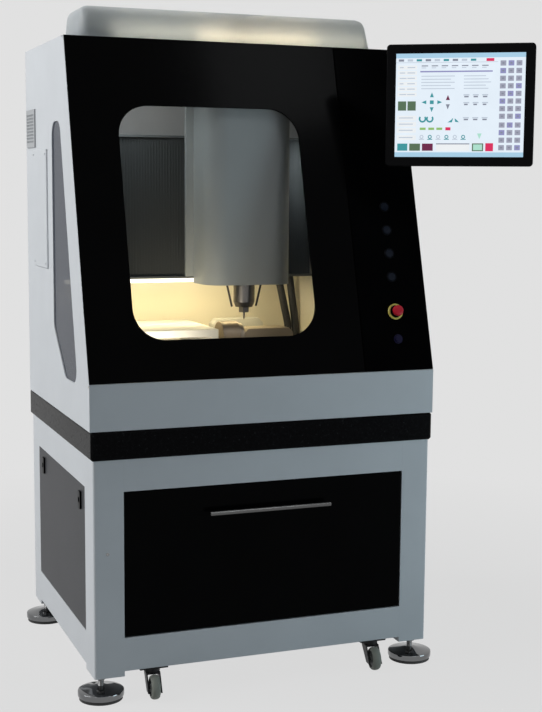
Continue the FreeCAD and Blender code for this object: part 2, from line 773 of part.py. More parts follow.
def drawer_tray():
    y0 = TRAY_Y0
    z0 = OPEN_Z0 + TRAY_FOOT_GAP
    outer = mid_runner_x()[0] - RUNNER_CLEAR
    half = outer - RUNNER_INNER_T
    tray = box(-half, half, y0, y0 + TRAY_D, z0, z0 + TRAY_H)
    hollow = box(SHEET - half, half - SHEET, y0 + SHEET, y0 + TRAY_D - SHEET, z0 + SHEET, z0 + TRAY_H)
    solids = [tray.cut(hollow)]
    low, high = runner_levels()
    for side in (-1, 1):
        solids.append(runner_bar(side, half, outer, y0, RUNNER_INNER_L, low, high))
    return solids


def drawer_runners_mid():
    low, high = runner_levels()
    y0 = TRAY_Y0
    inner, outer = mid_runner_x()
    return [runner_bar(side, inner, outer, y0, RUNNER_MID_L, low, high) for side in (-1, 1)]


def drawer_runners_fixed():
    solids = []
    y0 = TRAY_Y0
    for side in (-1, 1):
        z1 = RUNNER_Z + RUNNER_H
        channel = runner_bar(side, OPEN_X - RUNNER_CHANNEL_W, OPEN_X, y0, RUNNER_FIXED_L, RUNNER_Z, z1)
        inner = OPEN_X - RUNNER_CHANNEL_W
        outer = OPEN_X - RUNNER_WALL
        hollow = runner_bar(side, inner, outer, y0, RUNNER_FIXED_L, RUNNER_Z + RUNNER_WALL, z1 - RUNNER_WALL)
        solids.append(channel.cut(hollow))
    return solids


def drawer_handle():
    bar_y = DRAWER_FRONT_INSET - CABINET_Y - HANDLE_STANDOFF
    bar = rod((-HANDLE_L / 2, bar_y, HANDLE_Z), (1, 0, 0), HANDLE_R, HANDLE_L)
    posts = []
    for side in (-1, 1):
        x = side * HANDLE_POST_SPAN / 2
        posts.append(rod((x, bar_y, HANDLE_Z), (0, 1, 0), HANDLE_POST_R, HANDLE_STANDOFF))
    return bar.fuse(posts)


def granite_base():
    x = CABINET_X + GRANITE_OVER
    y = CABINET_Y + GRANITE_OVER
    slab = box(-x, x, -y, y, CABINET_TOP_Z, GRANITE_TOP_Z)
    return slab.makeChamfer(GRANITE_CHAMFER, slab.Edges)


def wall_outline(x):
    """Outline of a side wall: the sill's step, the slope behind the door, the roof and the rear."""
    front = SILL_Y + SHEET
    rear = ENCLOSURE_REAR_Y - SHEET
    points = [V(x, front, GRANITE_TOP_Z), V(x, rear, GRANITE_TOP_Z), V(x, rear, ENCLOSURE_TOP_Z)]
    points.append(V(x, slope_y(ENCLOSURE_TOP_Z, WALL_DEPTH), ENCLOSURE_TOP_Z))
    points.append(V(x, slope_y(STEP_Z, WALL_DEPTH), STEP_Z))
    points.append(V(x, front, STEP_Z))
    return points


def side_window_face(x):
    top_front = SIDE_WINDOW_REAR_Y - SIDE_WINDOW_TOP_W
    points = [V(x, SIDE_WINDOW_REAR_Y, SIDE_WINDOW_CUT_Z), V(x, SIDE_WINDOW_REAR_Y, SIDE_WINDOW_Z1)]
    points.append(V(x, top_front, SIDE_WINDOW_Z1))
    points.append(V(x, SIDE_WINDOW_FRONT_Y, SIDE_WINDOW_Z0))
    points.append(V(x, SIDE_WINDOW_CUT_Y, SIDE_WINDOW_Z0))
    radii = [SIDE_WINDOW_R, SIDE_WINDOW_TOP_R, SIDE_WINDOW_TOP_R, SIDE_WINDOW_R, SIDE_WINDOW_R]
    return Part.Face(rounded_wire(points, radii))


def enclosure_left_wall():
    wall = prism(wall_outline(-WALL_X), 0, V(SHEET, 0, 0))
    window = side_window_face(-WALL_X).extrude(V(SHEET, 0, 0))
    half_w = VENT_W / 2 - VENT_BORDER
    half_h = VENT_H / 2 - VENT_BORDER
    vent = box(-WALL_X, -INNER_X, VENT_Y - half_w, VENT_Y + half_w, VENT_Z - half_h, VENT_Z + half_h)
    return wall.cut(window).cut(vent)


def enclosure_right_wall():
    return prism(wall_outline(INNER_X), 0, V(SHEET, 0, 0))


def enclosure_rear_wall():
    y0 = ENCLOSURE_REAR_Y - SHEET
    wall = box(-WALL_X, WALL_X, y0, ENCLOSURE_REAR_Y, GRANITE_TOP_Z, ENCLOSURE_TOP_Z)
    for side in (-1, 1):
        for i in range(LOUVRE_COUNT):
            z0 = LOUVRE_Z + i * LOUVRE_PITCH
            x0 = side * LOUVRE_X - LOUVRE_W / 2
            wall = wall.cut(box(x0, x0 + LOUVRE_W, y0, ENCLOSURE_REAR_Y, z0, z0 + LOUVRE_H))
    return wall


def hood_plan(inset, front_inset, z):
    """Plan of the hood, drawn in from its base by inset, and by front_inset on the front side."""
    half = HOOD_W / 2 - inset
    return rectangle_xy(-half, half, HOOD_FRONT_Y + front_inset, HOOD_FRONT_Y + HOOD_D - inset, z)


def enclosure_roof():
    z0 = ENCLOSURE_TOP_Z - SHEET
    front = slope_y(ENCLOSURE_TOP_Z, WALL_DEPTH)
    roof = box(-INNER_X, INNER_X, front, ENCLOSURE_REAR_Y - SHEET, z0, ENCLOSURE_TOP_Z)
    return roof.cut(prism(hood_plan(HOOD_SEAT, HOOD_SEAT, z0), 0, V(0, 0, SHEET)))


def hood_form(inset, height):
    """Drafted block of the hood, drawn in from its outside by inset."""
    wires = []
    for z, side_draft, front_draft in ((0, 0, 0), (height, HOOD_DRAFT, HOOD_FRONT_DRAFT)):
        plan = hood_plan(inset + side_draft, inset + front_draft, ENCLOSURE_TOP_Z + z)
        wires.append(rounded_wire(plan, [0] * 4))
    return Part.makeLoft(wires, True, True)


def roof_hood():
    return hood_form(0, HOOD_H).cut(hood_form(HOOD_WALL, HOOD_H - HOOD_WALL))


def front_sill():
    plate = box(-WALL_X, WALL_X, SILL_Y, SILL_Y + SHEET, GRANITE_TOP_Z, SILL_TOP_Z)
    upper = edges_at(plate, lambda p: near(p.y, SILL_Y) and near(p.z, SILL_TOP_Z))
    plate = plate.makeChamfer(SILL_EDGE, upper)
    shelf_y1 = slope_y(STEP_Z, WALL_DEPTH)
    shelf = box(-INNER_X, INNER_X, SILL_Y + SHEET, shelf_y1, STEP_Z - SHEET, STEP_Z)
    return plate.fuse(shelf)


def front_skin(x0, x1):
    """Gloss skin of the front, drawn upright: y is depth behind the face, z runs up the slope."""
    skin = box(x0, x1, 0, SKIN_T, DOOR_REST_GAP, SLOPE_LEN)
    return skin.makeChamfer(SKIN_EDGE, edges_at(skin, lambda p: near(p.y, 0)))


def front_frame(x0, x1):
    """Four bars behind a skin, drawn upright like the skin."""
    low = DOOR_REST_GAP + FRAME_RAISE
    inner_low = low + FRAME_W
    inner_high = SLOPE_LEN - FRAME_W
    bars = [box(x0, x1, SKIN_T, DOOR_T, low, inner_low), box(x0, x1, SKIN_T, DOOR_T, inner_high, SLOPE_LEN)]
    for side_x in (x0, x1 - FRAME_W):
        bars.append(box(side_x, side_x + FRAME_W, SKIN_T, DOOR_T, inner_low, inner_high))
    return bars


def door_carriage(side, s0):
    """Block on the door's frame that runs on a guide rail."""
    anchor = -INNER_X if side < 0 else PARTITION_X0
    inward = -side
    near_x = anchor + inward * CARRIAGE_WALL
    far_x = near_x + inward * CARRIAGE_W
    x0, x1 = sorted((near_x, far_x))
    back = DOOR_RAIL_DEPTH + DOOR_RAIL_T + CARRIAGE_WALL
    block = box(x0, x1, DOOR_T, back, s0, s0 + CARRIAGE_L)
    groove_x = anchor + inward * (DOOR_RAIL_W + SLIDE_CLEAR)
    x0, x1 = sorted((near_x, groove_x))
    y0 = DOOR_RAIL_DEPTH - SLIDE_CLEAR
    y1 = DOOR_RAIL_DEPTH + DOOR_RAIL_T + SLIDE_CLEAR
    return block.cut(box(x0, x1, y0, y1, s0, s0 + CARRIAGE_L))


def window_outline(grow, y):
    half = WINDOW_W / 2 + grow
    z0 = WINDOW_S - grow
    return rectangle_xz(WINDOW_X - half, WINDOW_X + half, z0, WINDOW_S + WINDOW_H + grow, y)


def door_panel():
    skin = front_skin(-WALL_X, DOOR_X1)
    skin = skin.cut(prism(window_outline(0, 0), WINDOW_R, V(0, SKIN_T, 0)))
    solids = [on_slope(piece) for piece in [skin] + front_frame(-WALL_X, DOOR_X1)]
    for side in (-1, 1):
        for s0 in (CARRIAGE_LOW_S, CARRIAGE_HIGH_S):
            solids.append(on_slope(door_carriage(side, s0)))
    return solids


def door_window():
    return on_slope(prism(window_outline(PANE_LAP, SKIN_T), WINDOW_R + PANE_LAP, V(0, WINDOW_T, 0)))


def button_s(index):
    return BUTTON_S0 + index * BUTTON_PITCH


def control_fascia():
    skin = front_skin(FASCIA_X0, WALL_X)
    for i in range(BUTTON_COUNT):
        hole = rod((CONTROL_X, -BEZEL_T, button_s(i)), (0, 1, 0), BUTTON_R + SLIDE_CLEAR, SKIN_T + BEZEL_T)
        bezel = rod((CONTROL_X, -BEZEL_T, button_s(i)), (0, 1, 0), BEZEL_R, BEZEL_T)
        skin = skin.fuse(bezel).cut(hole)
    skin = skin.cut(rod((CONTROL_X, 0, STOP_S), (0, 1, 0), STOP_NECK_R + SLIDE_CLEAR, SKIN_T))
    half = SOCKET_W / 2 + RUN_CLEAR
    skin = skin.cut(box(CONTROL_X - half, CONTROL_X + half, 0, SKIN_T, SOCKET_S - half, SOCKET_S + half))
    return [on_slope(piece) for piece in [skin] + front_frame(FASCIA_X0, WALL_X)]


def push_button(index):
    s = button_s(index)
    cap = rod((CONTROL_X, -BUTTON_PROUD, s), (0, 1, 0), BUTTON_R, BUTTON_CAP_T)
    half = BUTTON_STEM_W / 2
    back = BUTTON_CAP_T - BUTTON_PROUD
    stem = box(CONTROL_X - half, CONTROL_X + half, back, back + BUTTON_STEM_L, s - half, s + half)
    return on_slope(cap.fuse(stem))


def estop_ring():
    ring = rod((CONTROL_X, -STOP_RING_T, STOP_S), (0, 1, 0), STOP_RING_R, STOP_RING_T)
    bore = rod((CONTROL_X, -STOP_RING_T, STOP_S), (0, 1, 0), STOP_NECK_R + SLIDE_CLEAR, STOP_RING_T)
    return on_slope(ring.cut(bore))


def estop_button():
    """Mushroom head on a neck that passes through the ring and the fascia."""
    face = -STOP_RING_T - STOP_NECK_L - STOP_HEAD_T
    head = rod((CONTROL_X, face, STOP_S), (0, 1, 0), STOP_HEAD_R, STOP_HEAD_T)
    neck_l = STOP_NECK_L + STOP_RING_T + STOP_STEM_L
    neck = rod((CONTROL_X, face + STOP_HEAD_T, STOP_S), (0, 1, 0), STOP_NECK_R, neck_l)
    return on_slope(head.fuse(neck))


def data_socket():
    """Capped socket: a round flange and cap in front of the skin, the socket's block behind it."""
    flange = rod((CONTROL_X, -SOCKET_FLANGE_T, SOCKET_S), (0, 1, 0), SOCKET_FLANGE_R, SOCKET_FLANGE_T)
    cap = rod((CONTROL_X, -SOCKET_FLANGE_T - SOCKET_CAP_T, SOCKET_S), (0, 1, 0), SOCKET_CAP_R, SOCKET_CAP_T)
    half = SOCKET_W / 2
    body = box(CONTROL_X - half, CONTROL_X + half, 0, SOCKET_L, SOCKET_S - half, SOCKET_S + half)
    return on_slope(flange.fuse([cap, body]))


def side_window():
    pane = side_window_face(-INNER_X).makeOffset2D(PANE_LAP)
    return pane.extrude(V(PANE_T, 0, 0))


def vent_grille():
    x0 = -WALL_X - VENT_T
    half_w = VENT_W / 2
    half_h = VENT_H / 2
    outline = rectangle_yz(VENT_Y - half_w, VENT_Y + half_w, VENT_Z - half_h, VENT_Z + half_h, x0)
    plate = prism(outline, 0, V(VENT_T, 0, 0))
    pitch = (VENT_H - 2 * VENT_BORDER) / VENT_SLOTS
    slot_h = pitch * VENT_SLOT_SHARE
    for i in range(VENT_SLOTS):
        z0 = VENT_Z - half_h + VENT_BORDER + (i + 0.5) * pitch - slot_h / 2
        y0 = VENT_Y - half_w + VENT_BORDER
        plate = plate.cut(box(x0, -WALL_X, y0, y0 + VENT_W - 2 * VENT_BORDER, z0, z0 + slot_h))
    return plate


def service_cover():
    x0 = -WALL_X - COVER_T
    body = box(x0, -WALL_X, COVER_Y0, COVER_Y0 + COVER_D, COVER_Z0, COVER_Z0 + COVER_H)
    return body.makeChamfer(PANEL_EDGE, edges_at(body, lambda p: near(p.x, x0)))


def chamber_liner():
    """Splash back under the beam, and the partition as a lower and an upper sheet."""
    rear = GANTRY_BACK_Y + SHEET
    beam_z = GANTRY_Z0 - LEDGE_T
    splash = box(-INNER_X, PARTITION_X0, GANTRY_BACK_Y, rear, GRANITE_TOP_Z, beam_z)
    front = SILL_Y + SHEET
    step_y = slope_y(STEP_Z, WALL_DEPTH)
    shelf_z = STEP_Z - SHEET
    beam_y = slope_y(beam_z, WALL_DEPTH)
    lower = [(front, GRANITE_TOP_Z), (rear, GRANITE_TOP_Z), (rear, beam_z), (beam_y, beam_z)]
    lower += [(step_y, STEP_Z), (step_y, shelf_z), (front, shelf_z)]
    roof_z = ENCLOSURE_TOP_Z - SHEET
    throat_y = X_RAIL_FRONT_Y - FACE_CLEAR
    upper = [(beam_y, beam_z), (throat_y, beam_z), (throat_y, roof_z), (slope_y(roof_z, WALL_DEPTH), roof_z)]
    solids = [splash]
    for outline in (lower, upper):
        solids.append(prism([V(PARTITION_X0, y, z) for y, z in outline], 0, V(SHEET, 0, 0)))
    return solids


def gantry():
    x = INNER_X - PANE_T - WALL_GAP
    solids = []
    for y0 in (GANTRY_FRONT_Y, GANTRY_BACK_Y - GANTRY_WALL):
        solids.append(box(-x, x, y0, y0 + GANTRY_WALL, GANTRY_Z0, GANTRY_Z1))
    for z0 in (GANTRY_Z0, GANTRY_Z1 - GANTRY_WALL):
        y0 = GANTRY_FRONT_Y + GANTRY_WALL
        solids.append(box(-x, x, y0, GANTRY_BACK_Y - GANTRY_WALL, z0, z0 + GANTRY_WALL))
    for side in (-1, 1):
        x0, x1 = sorted((side * x, side * (x - COLUMN_W)))
        solids.append(box(x0, x1, GANTRY_FRONT_Y, GANTRY_BACK_Y, GRANITE_TOP_Z, GANTRY_Z0))
    for z0 in (GANTRY_Z0 - LEDGE_T, GANTRY_Z1):
        ledge_x0 = COLUMN_W - x
        solids.append(box(ledge_x0, PARTITION_X0, LEDGE_FRONT_Y, LEDGE_BACK_Y, z0, z0 + LEDGE_T))
    return solids


def x_rail_levels():
    return (GANTRY_Z0 + X_RAIL_INSET, GANTRY_Z1 - X_RAIL_INSET)


def guide_rails():
    solids = []
    for z in x_rail_levels():
        half = X_RAIL_H / 2
        x0 = COLUMN_W - INNER_X
        solids.append(box(x0, PARTITION_X0, X_RAIL_FRONT_Y, GANTRY_FRONT_Y, z - half, z + half))
    for x in (Y_RAIL_X0, Y_RAIL_X1):
        half = Y_RAIL_W / 2
        solids.append(box(x - half, x + half, Y_RAIL_Y0, Y_RAIL_Y1, GRANITE_TOP_Z, GRANITE_TOP_Z + Y_RAIL_H))
    for wall, inward in ((-INNER_X, 1), (PARTITION_X0, -1)):
        x0, x1 = sorted((wall, wall + inward * DOOR_RAIL_W))
        y1 = DOOR_RAIL_DEPTH + DOOR_RAIL_T
        rail = box(x0, x1, DOOR_RAIL_DEPTH, y1, DOOR_RAIL_S0, SLOPE_LEN - DOOR_RAIL_END_GAP)
        solids.append(on_slope(rail))
    return solids


def bellows(x0, x1):
    """Pleated cover: a zigzag front on a flat back, between two ends."""
    folds = 2 * max(2, round((x1 - x0) / PLEAT_PITCH))
    points = []
    for i in range(folds + 1):
        depth = BELLOWS_FOLD if i % 2 == 0 else 0
        points.append(V(x0 + (x1 - x0) * i / folds, BELLOWS_FRONT_Y + depth, GANTRY_Z0))
    back = BELLOWS_FRONT_Y + BELLOWS_FOLD + BELLOWS_T
    points += [V(x1, back, GANTRY_Z0), V(x0, back, GANTRY_Z0)]
    return Part.Face(Part.makePolygon(points + [points[0]])).extrude(V(0, 0, GANTRY_H))


def way_bellows():
    neck = HEAD_NECK_W / 2
    return [bellows(COLUMN_W - INNER_X, HEAD_X - neck), bellows(HEAD_X + neck, PARTITION_X0)]


def led_bar():
    z1 = GANTRY_Z0 - LEDGE_T
    half = LIGHT_W / 2
    outline = rectangle_yz(LIGHT_Y - half, LIGHT_Y + half, z1 - LIGHT_H, z1, LIGHT_X0)
    return prism(outline, [LIGHT_R, LIGHT_R, 0, 0], V(LIGHT_X1 - LIGHT_X0, 0, 0))


def conduits():
    solids = []
    for top_x, foot_x in ((CONDUIT_A_X0, CONDUIT_A_X1), (CONDUIT_B_X0, CONDUIT_B_X1)):
        foot = V(foot_x, CONDUIT_Y, GRANITE_TOP_Z)
        knee = V(foot_x, CONDUIT_Y, CONDUIT_KNEE_Z)
        top = V(top_x, CONDUIT_Y, GANTRY_Z0)
        lower = Part.makeCylinder(CONDUIT_R, (knee - foot).Length, foot, knee - foot)
        upper = Part.makeCylinder(CONDUIT_R, (top - knee).Length + CONDUIT_OVERRUN, knee, top - knee)
        elbow = Part.makeSphere(CONDUIT_R, knee)
        run = lower.fuse([upper, elbow])
        reach = GANTRY_Z0 - GRANITE_TOP_Z
        keep = box(top_x - reach, top_x + reach, -reach, reach, GRANITE_TOP_Z, GANTRY_Z0)
        solids.append(run.common(keep))
    return solids


def x_saddle():
    x0 = HEAD_X - HEAD_PLATE_W / 2
    x1 = HEAD_X + HEAD_PLATE_W / 2
    plate = box(x0, x1, HEAD_PLATE_FRONT_Y, HEAD_PLATE_BACK_Y, HEAD_PLATE_Z0, HEAD_PLATE_Z1)
    half = HEAD_NECK_W / 2
    z0 = GANTRY_Z0 + HEAD_NECK_CLEAR
    z1 = GANTRY_Z1 - HEAD_NECK_CLEAR
    neck = box(HEAD_X - half, HEAD_X + half, HEAD_PLATE_BACK_Y, HEAD_BLOCK_FRONT_Y, z0, z1)
    blocks = []
    for z in x_rail_levels():
        for side in (-1, 1):
            x = HEAD_X + side * HEAD_BLOCK_X - HEAD_BLOCK_L / 2
            half = HEAD_BLOCK_H / 2
            back = HEAD_BLOCK_FRONT_Y + HEAD_BLOCK_T
            block = box(x, x + HEAD_BLOCK_L, HEAD_BLOCK_FRONT_Y, back, z - half, z + half)
            half = X_RAIL_H / 2 + SLIDE_CLEAR
            y0 = X_RAIL_FRONT_Y - SLIDE_CLEAR
            blocks.append(block.cut(box(x, x + HEAD_BLOCK_L, y0, back, z - half, z + half)))
    rails = []
    for side in (-1, 1):
        x = HEAD_X + side * Z_RAIL_X
        half = Z_RAIL_W / 2
        z0 = HEAD_PLATE_Z0 + Z_RAIL_INSET
        z1 = HEAD_PLATE_Z1 - Z_RAIL_INSET
        rails.append(box(x - half, x + half, Z_RAIL_FRONT_Y, HEAD_PLATE_FRONT_Y, z0, z1))
    return [plate.fuse([neck] + blocks)] + rails


def head_cover_plan(inset, z):
    half = HEAD_COVER_W / 2 - inset
    front = HEAD_COVER_FRONT_Y + inset
    points = rectangle_xy(HEAD_X - half, HEAD_X + half, front, HEAD_PLATE_FRONT_Y, z)
    radius = HEAD_COVER_R - inset
    return Part.Face(rounded_wire(points, [radius, radius, 0, 0]))


def head_cover():
    height = HEAD_PLATE_Z1 - HEAD_COVER_TOP_DROP - HEAD_COVER_Z0
    outer = head_cover_plan(0, HEAD_COVER_Z0).extrude(V(0, 0, height))
    inner = head_cover_plan(SHEET, HEAD_COVER_Z0).extrude(V(0, 0, height - SHEET))
    return outer.cut(inner)


def z_motor():
    y = (HEAD_PLATE_FRONT_Y + HEAD_PLATE_BACK_Y) / 2
    z = HEAD_PLATE_Z1
    half = MOTOR_FLANGE_W / 2
    bracket = box(HEAD_X - half, HEAD_X + half, y - MOTOR_W / 2, y + MOTOR_W / 2, z, z + MOTOR_FLANGE_T)
    z += MOTOR_FLANGE_T
    half = MOTOR_CAP_W / 2
    boss = box(HEAD_X - half, HEAD_X + half, y - half, y + half, z, z + MOTOR_BOSS_H)
    z += MOTOR_BOSS_H
    half = MOTOR_W / 2
    body = box(HEAD_X - half, HEAD_X + half, y - half, y + half, z, z + MOTOR_H)
    upright = [e for e in body.Edges if near(e.Length, MOTOR_H)]
    body = body.makeChamfer(MOTOR_EDGE, upright)
    half = MOTOR_CAP_W / 2
    z += MOTOR_H
    cap = box(HEAD_X - half, HEAD_X + half, y - half, y + half, z, z + MOTOR_CAP_H)
    return bracket.fuse([boss, body, cap])


def spindle_housing():
    """Z carriage on its rails, the spindle clamp and the spindle's own body."""
    half = SLIDE_W / 2
    back = SLIDE_FRONT_Y + SLIDE_T
    plate = box(HEAD_X - half, HEAD_X + half, SLIDE_FRONT_Y, back, SLIDE_Z0, SLIDE_Z0 + SLIDE_H)
    blocks = []
    for side in (-1, 1):
        for z0 in (SLIDE_Z0, SLIDE_Z0 + SLIDE_H - SLIDE_BLOCK_H):
            x = HEAD_X + side * Z_RAIL_X
            half = SLIDE_BLOCK_W / 2
            y1 = HEAD_PLATE_FRONT_Y - SLIDE_BLOCK_GAP
            block = box(x - half, x + half, back, y1, z0, z0 + SLIDE_BLOCK_H)
            half = Z_RAIL_W / 2 + SLIDE_CLEAR
            slot = box(x - half, x + half, Z_RAIL_FRONT_Y - SLIDE_CLEAR, y1, z0, z0 + SLIDE_BLOCK_H)
            blocks.append(block.cut(slot))
    half = CLAMP_W / 2
    z0 = SLIDE_Z0 + (SLIDE_H - CLAMP_H) / 2
    front = TOOL_Y - SPINDLE_R - CLAMP_WALL
    clamp = box(HEAD_X - half, HEAD_X + half, front, SLIDE_FRONT_Y, z0, z0 + CLAMP_H)
    bore = rod((HEAD_X, TOOL_Y, z0), (0, 0, 1), SPINDLE_R + RUN_CLEAR, CLAMP_H)
    carriage = plate.fuse(blocks + [clamp]).cut(bore)
    profile = [(0, NOSE_Z), (NOSE_TIP_R, NOSE_Z), (NOSE_R, NOSE_Z + NOSE_TAPER_H), (NOSE_R, SPINDLE_STEP_Z)]
    profile += [(SPINDLE_R, SPINDLE_STEP_Z), (SPINDLE_R, SPINDLE_TOP_Z), (0, SPINDLE_TOP_Z)]
    body = revolved(profile, HEAD_X, TOOL_Y)
    seat = rod((HEAD_X, TOOL_Y, NOSE_Z), (0, 0, 1), SHAFT_R + RUN_CLEAR, SHAFT_L + FACE_CLEAR)
    return [carriage, body.cut(seat)]


def coolant_nozzles():
    """Manifold block round the spindle's nose, and two slanted tubes that aim at the cutter."""
    half_x = NOZZLE_TOP_X + NOZZLE_R * 2
    half_y = NOSE_R + NOZZLE_R * 2
    top = MANIFOLD_Z + MANIFOLD_T
    block = box(HEAD_X - half_x, HEAD_X + half_x, TOOL_Y - half_y, TOOL_Y + half_y, MANIFOLD_Z, top)
    block = block.cut(rod((HEAD_X, TOOL_Y, MANIFOLD_Z), (0, 0, 1), NOSE_R + RUN_CLEAR, MANIFOLD_T))
    tubes = []
    for side in (-1, 1):
        start = V(HEAD_X + side * NOZZLE_TOP_X, TOOL_Y, MANIFOLD_Z + MANIFOLD_T / 2)
        tip = V(HEAD_X + side * NOZZLE_TIP_X, TOOL_Y, NOZZLE_TIP_Z)
        tubes.append(Part.makeCylinder(NOZZLE_R, (tip - start).Length, start, tip - start))
    return block.fuse(tubes)


def spindle_nose():
    """Shaft, collet nut and cutter, which turn together."""
    nut_z = NOSE_Z - FACE_CLEAR - NUT_H
    nut = hexagon(HEAD_X, TOOL_Y, nut_z, NUT_AF, NUT_H)
    shaft = rod((HEAD_X, TOOL_Y, NOSE_Z - FACE_CLEAR), (0, 0, 1), SHAFT_R, SHAFT_L)
    cutter = [(0, TIP_Z), (CUTTER_R, TIP_Z + TIP_CONE_H), (CUTTER_R, nut_z), (0, nut_z)]
    return nut.fuse([shaft, revolved(cutter, HEAD_X, TOOL_Y)])


def fixture_hole_places():
    x = (BED_X0 + BED_X1) / 2
    y = (TABLE_Y0 + TABLE_Y1) / 2
    return [(x + sx * FIXTURE_PITCH_X / 2, y + sy * FIXTURE_PITCH_Y / 2) for sx in (-1, 1) for sy in (-1, 1)]


def work_table():
    base = box(TABLE_X0, TABLE_X1, TABLE_Y0, TABLE_Y1, TABLE_BASE_Z, TABLE_TOP_Z)
    blocks = []
    for x in (Y_RAIL_X0, Y_RAIL_X1):
        for y0 in (TABLE_Y0 + TABLE_BLOCK_INSET, TABLE_Y1 - TABLE_BLOCK_INSET - TABLE_BLOCK_L):
            half = TABLE_BLOCK_W / 2
            y1 = y0 + TABLE_BLOCK_L
            block = box(x - half, x + half, y0, y1, GRANITE_TOP_Z + TABLE_BLOCK_FLOAT, TABLE_BASE_Z)
            half = Y_RAIL_W / 2 + SLIDE_CLEAR
            top = GRANITE_TOP_Z + Y_RAIL_H + SLIDE_CLEAR
            blocks.append(block.cut(box(x - half, x + half, y0, y1, GRANITE_TOP_Z, top)))
    bed = box(BED_X0, BED_X1, TABLE_Y0, TABLE_Y1, BED_TOP_Z - BED_T, BED_TOP_Z)
    for x, y in fixture_hole_places():
        bed = bed.cut(rod((x, y, BED_TOP_Z - BED_T), (0, 0, 1), FIXTURE_HOLE_R, BED_T))
    legs = []
    for x0 in (BED_X0, BED_X1 - BED_LEG_T):
        legs.append(box(x0, x0 + BED_LEG_T, TABLE_Y0, TABLE_Y1, TABLE_TOP_Z, BED_TOP_Z - BED_T))
    x0 = REAR_BLOCK_X0
    x1 = REAR_BLOCK_X1
    cut = REAR_BLOCK_CHAMFER
    y0 = TABLE_Y1 - REAR_BLOCK_D
    outline = [V(x0, y0, TABLE_TOP_Z), V(x1, y0, TABLE_TOP_Z), V(x1, y0, REAR_BLOCK_TOP_Z - cut)]
    outline += [V(x1 - cut, y0, REAR_BLOCK_TOP_Z), V(x0 + cut, y0, REAR_BLOCK_TOP_Z)]
    outline.append(V(x0, y0, REAR_BLOCK_TOP_Z - cut))
    return [base.fuse(blocks)] + legs + [bed, prism(outline, 0, V(0, REAR_BLOCK_D, 0))]


def rotary_headstock():
    length = HEADSTOCK_X1 - HEADSTOCK_X0
    y0 = TOOL_Y - HEADSTOCK_R
    y1 = TOOL_Y + HEADSTOCK_R
    foot = box(HEADSTOCK_X0, HEADSTOCK_X1, y0, y1, TABLE_TOP_Z, AXIS_Z)
    barrel = rod((HEADSTOCK_X0, TOOL_Y, AXIS_Z), (1, 0, 0), HEADSTOCK_R, length)
    bore_x = CHUCK_X0 - CHUCK_SHAFT_L
    bore = rod((bore_x, TOOL_Y, AXIS_Z), (1, 0, 0), CHUCK_SHAFT_R + RUN_CLEAR, CHUCK_SHAFT_L)
    return foot.fuse(barrel).cut(bore)


def rotary_chuck():
    disc = rod((CHUCK_X0, TOOL_Y, AXIS_Z), (1, 0, 0), CHUCK_R, CHUCK_T)
    shaft_x = CHUCK_X0 - CHUCK_SHAFT_L + FACE_CLEAR
    shaft = rod((shaft_x, TOOL_Y, AXIS_Z), (1, 0, 0), CHUCK_SHAFT_R, CHUCK_SHAFT_L)
    y0 = TOOL_Y - CRADLE_HALF_D
    x1 = CRADLE_X0 + CRADLE_L
    z1 = AXIS_Z + CRADLE_UP
    outline = [V(CRADLE_X0, y0, AXIS_Z - CRADLE_DOWN), V(x1, y0, AXIS_Z - CRADLE_DOWN)]
    outline += [V(x1, y0, z1 - CRADLE_CHAMFER), V(x1 - CRADLE_CHAMFER, y0, z1)]
    outline += [V(CRADLE_X0 + CRADLE_CHAMFER, y0, z1), V(CRADLE_X0, y0, z1 - CRADLE_CHAMFER)]
    cradle = prism(outline, 0, V(0, 2 * CRADLE_HALF_D, 0))
    return [disc.fuse(shaft), cradle]


def arm_bracket():
    y0 = ARM_PIVOT_Y - BRACKET_W / 2
    z0 = SCREEN_Z - BRACKET_H / 2
    plate = box(WALL_X, WALL_X + BRACKET_T, y0, y0 + BRACKET_W, z0, z0 + BRACKET_H)
    gap = ARM_H / 2 + FACE_CLEAR
    lugs = []
    for z0 in (SCREEN_Z + gap, SCREEN_Z - gap - LUG_T):
        y0 = ARM_PIVOT_Y - LUG_HALF
        lugs.append(box(WALL_X + BRACKET_T, PAN_X + LUG_HALF, y0, y0 + 2 * LUG_HALF, z0, z0 + LUG_T))
    pin = rod((PAN_X, ARM_PIVOT_Y, SCREEN_Z - gap), (0, 0, 1), ARM_PIN_R, 2 * gap)
    return plate.fuse(lugs + [pin])


def monitor_arm():
    z0 = SCREEN_Z - ARM_H / 2
    half = ARM_W / 2
    beam = box(PAN_X - half, PAN_X + half, PAN_Y, ARM_PIVOT_Y, z0, z0 + ARM_H)
    ends = [rod((PAN_X, y, z0), (0, 0, 1), ARM_END_R, ARM_H) for y in (PAN_Y, ARM_PIVOT_Y)]
    arm = beam.fuse(ends)
    for y in (PAN_Y, ARM_PIVOT_Y):
        arm = arm.cut(rod((PAN_X, y, z0), (0, 0, 1), ARM_PIN_R + RUN_CLEAR, ARM_H))
    return arm


